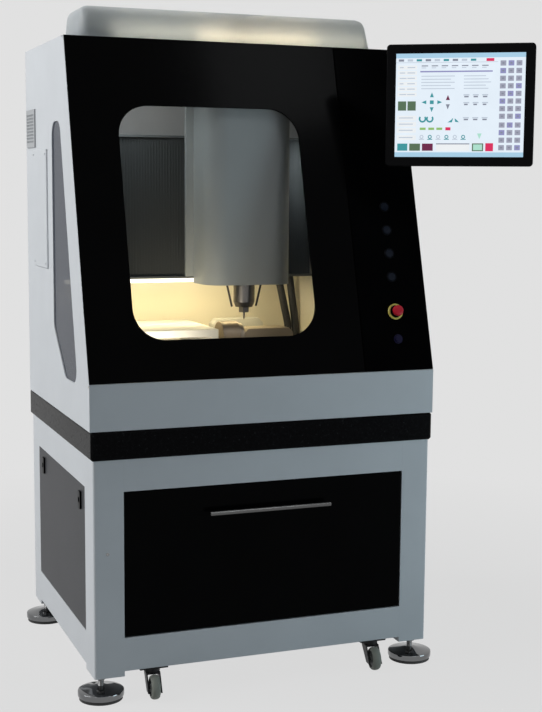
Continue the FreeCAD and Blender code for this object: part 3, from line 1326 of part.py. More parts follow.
def monitor_knuckle():
    """Yoke that pans on the arm's end and carries the tilt barrel, drawn about the screen."""
    gap = ARM_H / 2 + FACE_CLEAR
    web_back = PAN_DEPTH - ARM_END_R - YOKE_WEB_GAP
    parts = []
    for z0 in (gap, -gap - LUG_T):
        parts.append(box(-LUG_HALF, LUG_HALF, TILT_DEPTH, PAN_DEPTH + LUG_HALF, z0, z0 + LUG_T))
    parts.append(box(-LUG_HALF, LUG_HALF, TILT_DEPTH, web_back, -gap - LUG_T, gap + LUG_T))
    parts.append(rod((0, PAN_DEPTH, -gap), (0, 0, 1), ARM_PIN_R, 2 * gap))
    half = BARREL_L / 2
    y0 = TILT_DEPTH - BARREL_R
    parts.append(box(-half, half, y0, TILT_DEPTH + BARREL_R, -BARREL_R, BARREL_R))
    pin_l = EAR_T + FACE_CLEAR
    for side in (-1, 1):
        parts.append(rod((side * BARREL_L / 2, TILT_DEPTH, 0), (side, 0, 0), TILT_PIN_R, pin_l))
    return on_screen(parts[0].fuse(parts[1:]))


def monitor_housing():
    half_w = HOUSING_W / 2
    half_h = HOUSING_H / 2
    front = prism(rectangle_xz(-half_w, half_w, -half_h, half_h, 0), HOUSING_R, V(0, HOUSING_FRONT_T, 0))
    front = front.makeChamfer(HOUSING_EDGE, edges_at(front, lambda p: near(p.y, 0)))
    wires = []
    for depth, inset in ((HOUSING_FRONT_T, 0), (HOUSING_T, HOUSING_BACK_DRAFT)):
        x = HOUSING_BACK_W / 2 - inset
        z = HOUSING_BACK_H / 2 - inset
        wires.append(rounded_wire(rectangle_xz(-x, x, -z, z, depth), [0] * 4))
    back = Part.makeLoft(wires, True, True)
    ears = []
    for side in (-1, 1):
        x0 = side * (BARREL_L / 2 + FACE_CLEAR)
        x0, x1 = sorted((x0, x0 + side * EAR_T))
        ear = box(x0, x1, HOUSING_T, TILT_DEPTH, -EAR_H / 2, EAR_H / 2)
        eye = rod((x0, TILT_DEPTH, 0), (1, 0, 0), EAR_H / 2, EAR_T)
        ears.append(ear.fuse(eye).cut(rod((x0, TILT_DEPTH, 0), (1, 0, 0), TILT_PIN_R + RUN_CLEAR, EAR_T)))
    recess = box(-SCREEN_W / 2, SCREEN_W / 2, 0, SCREEN_T, -SCREEN_H / 2, SCREEN_H / 2)
    return on_screen(front.fuse([back] + ears).cut(recess))


def monitor_screen():
    return on_screen(box(-SCREEN_W / 2, SCREEN_W / 2, 0, SCREEN_T, -SCREEN_H / 2, SCREEN_H / 2))


def all_parts():
    parts = {
        "cabinet_frame": cabinet_frame(),
        "fixed_cabinet_panels": fixed_cabinet_panels(),
        "left_side_panel": left_side_panel(),
        "latch_front": latch(LATCH_FRONT_Y),
        "latch_rear": latch(LATCH_REAR_Y),
        "electrics_box": electrics_box(),
        "foot_discs": foot_discs(),
        "foot_pads": foot_pads(),
        "castor_plates": castor_plates(),
        "drawer_front": drawer_front(),
        "drawer_tray": drawer_tray(),
        "drawer_handle": drawer_handle(),
        "drawer_runners_mid": drawer_runners_mid(),
        "drawer_runners_fixed": drawer_runners_fixed(),
        "granite_base": granite_base(),
        "enclosure_left_wall": enclosure_left_wall(),
        "enclosure_right_wall": enclosure_right_wall(),
        "enclosure_rear_wall": enclosure_rear_wall(),
        "enclosure_roof": enclosure_roof(),
        "roof_hood": roof_hood(),
        "front_sill": front_sill(),
        "control_fascia": control_fascia(),
        "estop_ring": estop_ring(),
        "estop_button": estop_button(),
        "data_socket": data_socket(),
        "side_window": side_window(),
        "vent_grille": vent_grille(),
        "service_cover": service_cover(),
        "chamber_liner": chamber_liner(),
        "door_panel": door_panel(),
        "door_window": door_window(),
        "gantry": gantry(),
        "guide_rails": guide_rails(),
        "way_bellows": way_bellows(),
        "led_bar": led_bar(),
        "conduits": conduits(),
        "x_saddle": x_saddle(),
        "head_cover": head_cover(),
        "z_motor": z_motor(),
        "spindle_housing": spindle_housing(),
        "coolant_nozzles": coolant_nozzles(),
        "spindle_nose": spindle_nose(),
        "work_table": work_table(),
        "rotary_headstock": rotary_headstock(),
        "rotary_chuck": rotary_chuck(),
        "arm_bracket": arm_bracket(),
        "monitor_arm": monitor_arm(),
        "monitor_knuckle": monitor_knuckle(),
        "monitor_housing": monitor_housing(),
        "monitor_screen": monitor_screen(),
    }
    for i in range(BUTTON_COUNT):
        parts[f"button_{i + 1}"] = push_button(i)
    for name, side in (("left", -1), ("right", 1)):
        x = side * CASTOR_X
        parts[f"castor_fork_{name}"] = castor_fork(x)
        parts[f"castor_wheel_front_{name}"] = swivelled(castor_wheel(x, -CASTOR_Y - CASTOR_TRAIL), x)
        parts[f"castor_wheel_rear_{name}"] = castor_wheel(x, CASTOR_Y)
    return parts


def main():
    os.makedirs("parts", exist_ok=True)
    for name, shape in all_parts().items():
        if isinstance(shape, list):
            solids = [solid for piece in shape for solid in piece.Solids]
        else:
            solids = shape.Solids
        whole = solids[0] if len(solids) == 1 else Part.makeCompound(solids)
        whole.exportStep(f"parts/{name}.step")


main()
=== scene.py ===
import json
import math

import bmesh
import bpy
from mathutils import Matrix, Vector

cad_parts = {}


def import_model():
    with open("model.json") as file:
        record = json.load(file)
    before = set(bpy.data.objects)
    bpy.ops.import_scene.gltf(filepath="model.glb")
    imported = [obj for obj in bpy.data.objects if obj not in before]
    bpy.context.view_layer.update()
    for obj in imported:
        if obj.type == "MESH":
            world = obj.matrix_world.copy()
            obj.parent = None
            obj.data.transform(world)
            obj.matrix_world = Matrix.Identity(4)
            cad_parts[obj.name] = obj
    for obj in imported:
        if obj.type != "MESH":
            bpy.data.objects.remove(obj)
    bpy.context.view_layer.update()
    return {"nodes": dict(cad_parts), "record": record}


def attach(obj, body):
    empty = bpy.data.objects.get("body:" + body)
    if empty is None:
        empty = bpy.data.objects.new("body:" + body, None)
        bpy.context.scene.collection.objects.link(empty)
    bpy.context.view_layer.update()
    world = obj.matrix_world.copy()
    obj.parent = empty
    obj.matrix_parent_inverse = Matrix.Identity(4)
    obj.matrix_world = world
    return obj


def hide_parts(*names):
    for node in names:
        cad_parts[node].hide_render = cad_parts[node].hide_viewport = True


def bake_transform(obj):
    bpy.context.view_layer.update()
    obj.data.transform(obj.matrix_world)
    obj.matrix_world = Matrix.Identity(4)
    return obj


# Dressed view of the enclosed engraving machine. Metres, in the frame of the CAD model.

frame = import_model()
NODES = frame["nodes"]

# Sloping front. Places on it are heights measured up the slope.
SLOPE_RUN = 0.249
SLOPE_RISE = 0.883
SLOPE_FOOT = (0, -0.390, 0.834)
CONTROL_X = 0.385
BUTTON_COUNT = 4
FIRST_BUTTON = 0.261
BUTTON_PITCH = 0.066
STOP_PLACE = 0.1635
TRIM_LOW = -0.003
TRIM_HIGH = 0.916
# Ends, up the slope, of the black strip that is painted shade in the slit beside the door.
SLIT_SHADE_LOW = 0.004
SLIT_SHADE_HIGH = 0.905

# Levelling feet.
FOOT_X = 0.449
FOOT_Y = 0.346
STUD_LOW = 0.0345
STUD_HIGH = 0.0521
STUD_RADIUS = 0.0080
THREAD_ROOT = 0.0071
THREAD_LOW = 0.0350
THREAD_PITCH = 0.0017
THREAD_TURNS = 10
NUT_LOW = 0.052
NUT_ACROSS = 0.026
NUT_HEIGHT = 0.013

# Sides of the turned pieces.
DISC_SIDES = 64
STUD_SIDES = 20
NUT_SIDES = 6
SCREW_SIDES = 12
WHEEL_SIDES = 56
BUTTON_SIDES = 40
STOP_SIDES = 56

# Castors. The front wheels stand off their swivel axes and are turned a little.
CASTOR_X = 0.316
CASTOR_Y = 0.364
CASTOR_TRAIL = 0.040
CASTOR_TURN = math.radians(-6)
AXLE_HEIGHT = 0.033
TREAD_INNER = 0.0285

# Screws of the corner post and of the service cover.
POST_SCREW = (-0.438, -0.386, 0.394)
POST_SCREW_RADIUS = 0.0042
COVER_SCREW_X = -0.488
COVER_SCREW_ROWS = (1.110, 1.415)
COVER_SCREW_COLUMNS = (0.094, 0.248)
COVER_SCREW_RADIUS = 0.003

# Filter mat in the slots of the vent. Its place is the middle of its lower edge on the left wall.
FILTER_PLACE = (-0.483, 0.299, 1.445)
FILTER_WIDTH = 0.100
FILTER_RIBS = 46
FILTER_PITCH = 0.002
FILTER_FACE = 0.0030
FILTER_GROOVE = 0.0026
FILTER_BACK = 0.0006

# Roof hood.
HOOD_HALF_LOW = 0.426
HOOD_HALF_HIGH = 0.418
HOOD_FRONT = -0.082
HOOD_BACK = 0.125
HOOD_LOW = 1.717
HOOD_HIGH = 1.808
HOOD_FRONT_LEAN = 0.030
HOOD_BACK_LEAN = 0.008
HOOD_ROUND = 0.026
HOOD_ROUND_STEPS = 7
HOOD_WALL = 0.003
HOOD_SMOOTH = 40.0

# Way bellows, from the frame on the left to the saddle, and on to the frame on the right.
BELLOWS_FRONT = -0.0068
FOLD_DEPTH = 0.0150
FOLD_SHARPNESS = 0.8
FOLD_POINTS = 6
FABRIC_THICK = 0.0012
FABRIC_SMOOTH = 50.0
BELLOWS_ROWS = (1.0765, 1.0795, 1.150, 1.270, 1.390, 1.4595, 1.4625)
LEFT_COVER = (-0.4195, -0.0965)
LEFT_FOLDS = 40
RIGHT_COVER = (0.1645, 0.2745)
RIGHT_FOLDS = 14

# Screen.
SCREEN_CENTRE = (0.498, -0.474, 1.546)
SCREEN_TURN = math.radians(-33)
SCREEN_WIDTH = 0.338
SCREEN_HEIGHT = 0.270
SCREEN_LAYER = 0.0001
SCREEN_LIGHT = 0.9

# Camera.
SENSOR_WIDTH = 36.0
FOCAL_PIXELS = 1349.3
FRAME_PIXELS = 712
CAMERA_PLACE = (-1.2592, -3.6669, 1.3313)
CAMERA_YAW = math.radians(21.073)
CAMERA_PITCH = math.radians(-7.182)
CAMERA_ROLL = math.radians(0.416)

# Studio.
BACKDROP = (0.752, 0.752, 0.752, 1)
AMBIENT = (0.72, 0.88, 1.0, 1)
AMBIENT_STRENGTH = 0.07
FLOOR_GREY = (0.60, 0.60, 0.60, 1)
FLOOR_HALF = 30
FLOOR_FADE = (0.4, 0.4, 0.4)
FLOOR_FADE_RANGE = (0.0, 0.6)
FLOOR_BACKDROP_SHARE = (1.0, 0.90)

# Local frames. FACE_FRONT and FACE_LEFT turn the z axis to the front and to the left.
FACE_FRONT = Matrix.Rotation(math.radians(90), 4, "X")
FACE_LEFT = Matrix.Rotation(math.radians(-90), 4, "Y")
ACROSS = Matrix.Rotation(math.radians(90), 4, "Y")
ON_SLOPE = Matrix.Translation(SLOPE_FOOT) @ Matrix.Rotation(-math.atan2(SLOPE_RUN, SLOPE_RISE), 4, "X")
ON_SCREEN = Matrix.Translation(SCREEN_CENTRE) @ Matrix.Rotation(SCREEN_TURN, 4, "Z")
SWIVELLED = Matrix.Translation((0, -CASTOR_Y, 0)) @ Matrix.Rotation(CASTOR_TURN, 4, "Z")
FRONT_AXLE = SWIVELLED @ Matrix.Translation((0, -CASTOR_TRAIL, AXLE_HEIGHT))
REAR_AXLE = Matrix.Translation((0, CASTOR_Y, AXLE_HEIGHT))

# On the left wall local x runs up, y out of the wall and z along it.
ON_LEFT_WALL = Matrix(((0, -1, 0), (0, 0, 1), (1, 0, 0))).to_4x4()

# Shader helpers

EVEN = (1, 1, 1)
BRUSH = (0.04, 1, 1)
DRAWN = (1, 1, 0.05)
NOISE_MIDDLE = (0.3, 0.7)
GRAIN_DEPTH = 0.0003
MATERIALS = {}


def adjust(node, **values):
    """Names that are inputs of the node are set there, the others as attributes."""
    for key, value in values.items():
        label = key.replace("_", " ")
        if label in node.inputs:
            node.inputs[label].default_value = value
        else:
            setattr(node, key, value)


def add(tree, kind, **values):
    """New shader node with these values."""
    node = tree.nodes.new("ShaderNode" + kind)
    adjust(node, **values)
    return node


def blank(name):
    """New material, kept under its name: its node tree and its main shader."""
    material = bpy.data.materials.new(name)
    material.use_nodes = True
    MATERIALS[name] = material
    tree = material.node_tree
    return tree, tree.nodes["Principled BSDF"]


def object_coords(tree, stretch=EVEN):
    coords = add(tree, "TexCoord")
    mapping = add(tree, "Mapping", Scale=stretch)
    tree.links.new(coords.outputs["Object"], mapping.inputs["Vector"])
    return mapping.outputs["Vector"]


def noise(tree, vector, scale, detail=3.0):
    texture = add(tree, "TexNoise", Scale=scale, Detail=detail)
    tree.links.new(vector, texture.inputs["Vector"])
    return texture.outputs["Fac"]


def ramp(tree, factor, stops):
    """Colours between stops of (place, colour)."""
    node = add(tree, "ValToRGB")
    band = node.color_ramp
    while len(band.elements) < len(stops):
        band.elements.new(0.5)
    for element, (place, colour) in zip(band.elements, stops):
        element.position = place
        element.color = (*colour, 1)
    tree.links.new(factor, node.inputs["Fac"])
    return node.outputs["Color"]


def map_range(tree, value, source, target):
    """Value carried from the source range to the target range."""
    node = add(tree, "MapRange", From_Min=source[0], From_Max=source[1], To_Min=target[0], To_Max=target[1])
    tree.links.new(value, node.inputs["Value"])
    return node.outputs["Result"]


def shade(colour, factor):
    return tuple(min(1.0, channel * factor) for channel in colour)


def clouded(tree, factor, colour, low, high):
    """Colour that noise makes darker and lighter by these factors."""
    dark, light = NOISE_MIDDLE
    return ramp(tree, factor, ((dark, shade(colour, low)), (light, shade(colour, high))))


def rounded(tree, bsdf, height, strength, depth, edge):
    """Fine relief from height, on edges that the Bevel node rounds."""
    bump = add(tree, "Bump", Strength=strength, Distance=depth)
    tree.links.new(height, bump.inputs["Height"])
    if edge > 0:
        bevel = add(tree, "Bevel", Radius=edge, samples=4)
        tree.links.new(bevel.outputs["Normal"], bump.inputs["Normal"])
    tree.links.new(bump.outputs["Normal"], bsdf.inputs["Normal"])


# Kinds of finish

def surface(name, colour, rough, metal=0.0, vary=0.05, vary_scale=7.0, rough_vary=0.06, grain=700.0,
            relief=0.12, edge=0.001, stretch=EVEN, specular=0.5):
    """Finish with cloudy colour, uneven gloss and a fine grain."""
    tree, bsdf = blank(name)
    vector = object_coords(tree, stretch)
    cloud = noise(tree, vector, vary_scale)
    tree.links.new(clouded(tree, cloud, colour, 1 - vary, 1 + vary), bsdf.inputs["Base Color"])
    fine = noise(tree, vector, grain, 2.0)
    gloss = (max(0.02, rough - rough_vary), min(1.0, rough + rough_vary))
    tree.links.new(map_range(tree, fine, NOISE_MIDDLE, gloss), bsdf.inputs["Roughness"])
    adjust(bsdf, Metallic=metal, Specular_IOR_Level=specular)
    rounded(tree, bsdf, fine, relief, GRAIN_DEPTH, edge)


def granite(name):
    """Polished black stone with grey and pale grains."""
    tree, bsdf = blank(name)
    vector = object_coords(tree)
    speck = add(tree, "TexVoronoi", Scale=520.0, Randomness=1.0)
    tree.links.new(vector, speck.inputs["Vector"])
    cloud = noise(tree, vector, 120.0, 8.0)
    grain = add(tree, "Math", operation="MULTIPLY")
    tree.links.new(cloud, grain.inputs[0])
    tree.links.new(speck.outputs["Color"], grain.inputs[1])
    stops = ((0.2, (0.002, 0.002, 0.0024)), (0.45, (0.006, 0.006, 0.0065)), (0.66, (0.034, 0.034, 0.036)))
    tree.links.new(ramp(tree, grain.outputs["Value"], stops), bsdf.inputs["Base Color"])
    tree.links.new(map_range(tree, cloud, NOISE_MIDDLE, (0.16, 0.30)), bsdf.inputs["Roughness"])
    adjust(bsdf, Specular_IOR_Level=0.025)
    rounded(tree, bsdf, cloud, 0.05, 0.0002, 0.001)


def pane(name, colour, alpha, rough, specular):
    """Sheet glass or clear plastic: faint smears in the gloss."""
    tree, bsdf = blank(name)
    smear = noise(tree, object_coords(tree), 5.0, 4.0)
    tree.links.new(clouded(tree, smear, colour, 0.94, 1.06), bsdf.inputs["Base Color"])
    gloss = (rough * 0.7, rough * 1.3)
    tree.links.new(map_range(tree, smear, NOISE_MIDDLE, gloss), bsdf.inputs["Roughness"])
    adjust(bsdf, Specular_IOR_Level=specular, Alpha=alpha)


def milky(name, colour):
    """Translucent moulded plastic that lets light through without showing what is behind it."""
    tree, bsdf = blank(name)
    vector = object_coords(tree)
    cloud = noise(tree, vector, 4.0)
    tree.links.new(clouded(tree, cloud, colour, 0.95, 1.05), bsdf.inputs["Base Color"])
    fine = noise(tree, vector, 600.0, 2.0)
    tree.links.new(map_range(tree, fine, NOISE_MIDDLE, (0.40, 0.52)), bsdf.inputs["Roughness"])
    adjust(bsdf, Subsurface_Weight=0.85, Subsurface_Radius=(1.0, 1.0, 0.95), Subsurface_Scale=0.02)
    adjust(bsdf, Specular_IOR_Level=0.3, Alpha=0.96)
    rounded(tree, bsdf, fine, 0.06, 0.0002, 0.0)


def glow(name, colour, strength):
    """Lit surface, with a slight unevenness in its light."""
    tree, bsdf = blank(name)
    cloud = noise(tree, object_coords(tree), 18.0)
    tree.links.new(clouded(tree, cloud, colour, 0.96, 1.0), bsdf.inputs["Emission Color"])
    adjust(bsdf, Base_Color=(*shade(colour, 0.1), 1), Emission_Strength=strength)
    adjust(bsdf, Roughness=0.3, Specular_IOR_Level=0.2)


# Materials

def paints():
    surface("light_paint", (0.60, 0.62, 0.64), 0.45, vary=0.025, grain=900.0, relief=0.1, specular=0.3)
    surface("dark_paint", (0.048, 0.049, 0.053), 0.42, vary=0.06, grain=900.0, relief=0.15, specular=0.08)
    surface("black_paint", (0.012, 0.012, 0.013), 0.4, vary=0.1, specular=0.2)
    surface("black_gloss", (0.0015, 0.0015, 0.0017), 0.16, vary=0.2, grain=300.0, relief=0.02, specular=0.02)
    surface("fascia_black", (0.0015, 0.0015, 0.0017), 0.2, vary=0.2, grain=300.0, relief=0.02, edge=0.0,
            specular=0.004)
    surface("head_white", (0.38, 0.40, 0.40), 0.5, vary=0.03, specular=0.3)
    surface("cream_liner", (0.72, 0.68, 0.58), 0.45, vary=0.03)
    surface("gantry_grey", (0.10, 0.105, 0.105), 0.5, vary=0.04, grain=500.0, relief=0.2, specular=0.2)
    surface("electrics_grey", (0.34, 0.345, 0.35), 0.5, vary=0.04)


def metals():
    surface("machine_steel", (0.56, 0.57, 0.58), 0.3, 1.0, grain=1500.0, stretch=BRUSH)
    # Darker steel for the drawer handle, in place of its chrome slot: painted shade for the dark room it
    # reflects.
    surface("handle_steel_shaded", (0.11, 0.11, 0.11), 0.22, 1.0, grain=1500.0, stretch=BRUSH)
    surface("spindle_dark", (0.16, 0.15, 0.14), 0.32, 1.0, vary=0.08, stretch=DRAWN)
    # Chrome darkened well below its own brightness: painted shade for the dark room it reflects.
    surface("chrome", (0.185, 0.188, 0.192), 0.07, 1.0, vary=0.02, rough_vary=0.03, relief=0.02)
    surface("zinc", (0.30, 0.30, 0.30), 0.38, 1.0, vary=0.12, vary_scale=60.0)
    surface("machine_cast", (0.48, 0.48, 0.46), 0.5, vary=0.04, grain=500.0, relief=0.2)
    surface("arm_grey", (0.19, 0.20, 0.21), 0.4, 0.3, vary=0.05)
    surface("nozzle_dark", (0.05, 0.045, 0.04), 0.4, 0.5, vary=0.08)
    surface("cradle_tan", (0.42, 0.35, 0.26), 0.4, 0.3, vary=0.06)
    surface("chuck_tan", (0.27, 0.21, 0.145), 0.42, 0.3, vary=0.06)


def plastics():
    surface("black_plastic", (0.002, 0.002, 0.0024), 0.34, vary=0.1, grain=1400.0, relief=0.15,
            specular=0.05)
    surface("button_grey", (0.006, 0.009, 0.017), 0.35, vary=0.06, edge=0.0004, specular=0.08)
    surface("bezel", (0.002, 0.0025, 0.004), 0.35, vary=0.04, edge=0.0004, specular=0.04)
    surface("stop_red", (0.62, 0.015, 0.035), 0.34, vary=0.05, relief=0.03, edge=0.0006, specular=0.2)
    surface("stop_yellow", (0.78, 0.66, 0.13), 0.32, vary=0.05, relief=0.03, edge=0.0005)
    surface("socket_blue", (0.006, 0.005, 0.028), 0.35, vary=0.06, edge=0.0005, specular=0.1)
    surface("vent_grey", (0.40, 0.41, 0.42), 0.6, vary=0.04)
    surface("wheel_grey", (0.035, 0.04, 0.037), 0.5, vary=0.08)
    milky("hood_plastic", (0.37, 0.395, 0.41))


def soft_stuff():
    surface("rubber_black", (0.014, 0.014, 0.014), 0.65, vary=0.1, grain=1200.0, relief=0.3)
    surface("tread", (0.20, 0.212, 0.182), 0.6, vary=0.08, grain=900.0, relief=0.2)
    # Filter mat grey, darker than the grille: partly the mat's own colour, partly painted shade in the
    # vent's slots.
    surface("filter_slot_shade", (0.27, 0.28, 0.29), 0.8, vary=0.08, vary_scale=90.0)
    surface("bellows_fabric", (0.112, 0.117, 0.117), 0.75, vary=0.03, grain=1600.0, relief=0.05,
            specular=0.15)


def stone_and_glass():
    granite("granite")
    pane("smoked_glass", (0.076, 0.086, 0.110), 0.80, 0.12, 0.05)
    pane("clear_glass", (0.14, 0.15, 0.16), 0.03, 0.03, 0.06)
    glow("light_diffuser", (1.0, 0.95, 0.76), 2.5)
    glow("screen_glass", (0.82, 0.91, 1.0), 0.92)


OWN_MATERIAL = {
    "drawer_handle": "handle_steel_shaded",
    "data_socket": "socket_blue",
    "control_fascia": "fascia_black",
    "vent_grille": "vent_grey",
    "gantry": "gantry_grey",
    "x_saddle": "head_white",
    "spindle_housing": "spindle_dark",
    "spindle_nose": "spindle_dark",
    "coolant_nozzles": "nozzle_dark",
    "rotary_headstock": "chuck_tan",
    "rotary_chuck": "cradle_tan",
}


def dress_nodes():
    """Gives every CAD node the material of its slot in the record, or one of its own."""
    slots = {part["node"]: part["material_slot"] for part in frame["record"]["subparts"]}
    for name, node in NODES.items():
        node.data.materials.clear()
        node.data.materials.append(MATERIALS[OWN_MATERIAL.get(name, slots[name])])


# Mesh helpers

def piece(name, bm, material, body, smooth=35.0, replaces=()):
    """Finished object, riding on a body if one is given. Edges over smooth degrees stay sharp."""
    mesh = bpy.data.meshes.new(name)
    bmesh.ops.recalc_face_normals(bm, faces=bm.faces)
    bm.to_mesh(mesh)
    bm.free()
    obj = bpy.data.objects.new(name, mesh)
    bpy.context.scene.collection.objects.link(obj)
    mesh.materials.append(MATERIALS[material])
    mesh.shade_smooth()
    mesh.set_sharp_from_angle(angle=math.radians(smooth))
    if body:
        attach(obj, body)
    if replaces:
        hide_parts(*replaces)
    return obj


def turn(bm, radius, height, matrix, segments):
    """Ring of points, or a single point on the axis."""
    if radius == 0:
        return [bm.verts.new(matrix @ Vector((0, 0, height)))]
    ring = []
    for i in range(segments):
        angle = 2 * math.pi * i / segments
        point = Vector((radius * math.cos(angle), radius * math.sin(angle), height))
        ring.append(bm.verts.new(matrix @ point))
    return ring


def lathe(bm, profile, matrix, segments, loop=False):
    """Turns a profile of (radius, height) about the local z axis. A loop joins its end to its start."""
    rings = [turn(bm, radius, height, matrix, segments) for radius, height in profile]
    pairs = list(zip(rings, rings[1:]))
    if loop:
        pairs.append((rings[-1], rings[0]))
    for low, high in pairs:
        for i in range(segments):
            j = (i + 1) % segments
            corners = [low[i % len(low)], low[j % len(low)], high[j % len(high)], high[i % len(high)]]
            corners = [corner for n, corner in enumerate(corners) if corner not in corners[:n]]
            if len(corners) > 2:
                bm.faces.new(corners)


def strip(bm, outline, matrix, low, high):
    """Closed bar: an outline of (x, y) drawn along the local z axis from low to high."""
    pairs = []
    for x, y in outline:
        pairs.append([bm.verts.new(matrix @ Vector((x, y, z))) for z in (low, high)])
    for a, b in zip(pairs, pairs[1:] + pairs[:1]):
        bm.faces.new((a[0], b[0], b[1], a[1]))
    for end in (0, 1):
        bm.faces.new([pair[end] for pair in pairs])


def hex_head(bm, matrix, across, height):
    """Hexagon with chamfered ends, standing on the local xy plane."""
    radius = across / math.sqrt(3)
    cut = 0.06 * across
    profile = [(0, 0), (radius - cut, 0), (radius, cut)]
    profile += [(radius, height - cut), (radius - cut, height), (0, height)]
    lathe(bm, profile, matrix, NUT_SIDES)


def socket_screw(bm, matrix, radius):
    """Round screw head with a recess, standing on the local xy plane."""
    height = 0.6 * radius
    bottom = height * 0.35
    profile = [(radius, 0), (radius, height * 0.6), (radius * 0.8, height)]
    profile += [(radius * 0.45, height), (radius * 0.42, bottom), (0, bottom)]
    lathe(bm, profile, matrix, SCREW_SIDES)


# Stand

FOOT_RIM = [
    (0, 0.0081), (0.0570, 0.0081), (0.0598, 0.0090), (0.0606, 0.0112), (0.0606, 0.0212), (0.0598, 0.0236),
    (0.0572, 0.0249), (0.0480, 0.0266), (0.030, 0.0304), (0.018, 0.0334), (0.0125, 0.0349), (0, 0.0349),
]
WHEEL_HALF = [
    (0.0042, -0.012), (0.0105, -0.012), (0.0115, -0.0090), (0.0215, -0.0080), (0.0228, -0.0110),
    (0.0250, -0.012), (0.0280, -0.0108), (0.0302, -0.0080), (0.0315, -0.0042), (0.0319, 0.0),
]


def stud_profile():
    """Outline of a threaded stud."""
    profile = [(0, STUD_LOW)]
    for i in range(THREAD_TURNS):
        z = THREAD_LOW + i * THREAD_PITCH
        profile += [(STUD_RADIUS, z), (THREAD_ROOT, z + THREAD_PITCH / 2)]
    return profile + [(STUD_RADIUS, STUD_HIGH), (0, STUD_HIGH)]


def feet():
    """Turned discs, and threaded studs with their nuts."""
    discs = bmesh.new()
    studs = bmesh.new()
    for x in (-FOOT_X, FOOT_X):
        for y in (-FOOT_Y, FOOT_Y):
            place = Matrix.Translation((x, y, 0))
            lathe(discs, FOOT_RIM, place, DISC_SIDES)
            lathe(studs, stud_profile(), place, STUD_SIDES)
            hex_head(studs, place @ Matrix.Translation((0, 0, NUT_LOW)), NUT_ACROSS, NUT_HEIGHT)
    piece("foot_discs_turned", discs, "chrome", "machine_frame", replaces=("foot_discs",))
    piece("foot_studs_threaded", studs, "zinc", "machine_frame")


def wheel(name, axle):
    """Castor wheel with a dished hub and a rounded tread of its own material."""
    bm = bmesh.new()
    profile = WHEEL_HALF + [(radius, -z) for radius, z in reversed(WHEEL_HALF[:-1])]
    lathe(bm, profile, axle @ ACROSS, WHEEL_SIDES, loop=True)
    replaced = ("castor_" + name,)
    obj = piece(name + "_turned", bm, "wheel_grey", name, replaces=replaced)
    obj.data.materials.append(MATERIALS["tread"])
    for face in obj.data.polygons:
        if (face.center - axle.translation).length > TREAD_INNER:
            face.material_index = 1


def wheels():
    for side, x in (("left", -CASTOR_X), ("right", CASTOR_X)):
        for end, axle in (("front", FRONT_AXLE), ("rear", REAR_AXLE)):
            wheel(f"wheel_{end}_{side}", Matrix.Translation((x, 0, 0)) @ axle)


def stand_screws():
    """Screw of the corner post and painted screws of the service cover."""
    post = bmesh.new()
    socket_screw(post, Matrix.Translation(POST_SCREW) @ FACE_FRONT, POST_SCREW_RADIUS)
    piece("post_screw", post, "zinc", "machine_frame")
    cover = bmesh.new()
    for z in COVER_SCREW_ROWS:
        for y in COVER_SCREW_COLUMNS:
            place = Matrix.Translation((COVER_SCREW_X, y, z))
            socket_screw(cover, place @ FACE_LEFT, COVER_SCREW_RADIUS)
    piece("cover_screws", cover, "light_paint", "machine_frame")


# Enclosure

TRIM_OUTLINE = [
    (-0.4832, 0.0002), (-0.4838, 0.0004), (-0.4840, 0.0012), (-0.4840, 0.0200), (-0.4832, 0.0200),
]
# Outline of the black strip that paints the shade in the slit beside the door.
SLIT_SHADE_OUTLINE = [(0.2790, -0.0003), (0.2777, 0.0012), (0.2777, 0.0050), (0.2790, 0.0060)]


def vent_filter():
    """Ribbed filter mat in the slots of the vent; its grey, darker than the grille, is also painted shade in
    the slots.
    """
    bm = bmesh.new()
    length = FILTER_RIBS * FILTER_PITCH
    outline = [(length, FILTER_BACK), (0, FILTER_BACK)]
    for i in range(FILTER_RIBS):
        outline += [(i * FILTER_PITCH, FILTER_GROOVE), ((i + 0.5) * FILTER_PITCH, FILTER_FACE)]
    outline.append((length, FILTER_GROOVE))
    place = Matrix.Translation(FILTER_PLACE) @ ON_LEFT_WALL
    strip(bm, outline, place, -FILTER_WIDTH / 2, FILTER_WIDTH / 2)
    piece("vent_filter", bm, "filter_slot_shade", "machine_frame")


def edge_trim():
    """White edge strip of the left wall beside the sliding door."""
    bm = bmesh.new()
    strip(bm, TRIM_OUTLINE, ON_SLOPE, TRIM_LOW, TRIM_HIGH)
    piece("wall_edge_trim", bm, "light_paint", "machine_frame")


def slit_shade_strip():
    """Black strip on the fascia's edge, in the slit beside the door: painted shade of the slit."""
    bm = bmesh.new()
    strip(bm, SLIT_SHADE_OUTLINE, ON_SLOPE, SLIT_SHADE_LOW, SLIT_SHADE_HIGH)
    piece("slit_shade_strip", bm, "fascia_black", "machine_frame")


def rectangle(bm, half, front, back, height):
    """Four level points, from the front left corner anticlockwise."""
    corners = [(-half, front), (half, front), (half, back), (-half, back)]
    return [bm.verts.new((x, y, height)) for x, y in corners]


def hood():
    """Drafted shell with rounded corners, open below."""
    bm = bmesh.new()
    lower = rectangle(bm, HOOD_HALF_LOW, HOOD_FRONT, HOOD_BACK, HOOD_LOW)
    top_front = HOOD_FRONT + HOOD_FRONT_LEAN
    top_back = HOOD_BACK - HOOD_BACK_LEAN
    upper = rectangle(bm, HOOD_HALF_HIGH, top_front, top_back, HOOD_HIGH)
    for i in range(4):
        j = (i + 1) % 4
        bm.faces.new((lower[i], lower[j], upper[j], upper[i]))
    bm.faces.new(upper)
    edges = [edge for edge in bm.edges if len(edge.link_faces) == 2]
    bmesh.ops.bevel(bm, geom=edges, offset=HOOD_ROUND, segments=HOOD_ROUND_STEPS, profile=0.5,
                    affect="EDGES")
    replaced = ("roof_hood",)
    obj = piece("roof_hood_moulded", bm, "hood_plastic", "machine_frame", HOOD_SMOOTH, replaced)
    wall = obj.modifiers.new("wall", "SOLIDIFY")
    wall.thickness = HOOD_WALL
    wall.offset = -1


# Controls

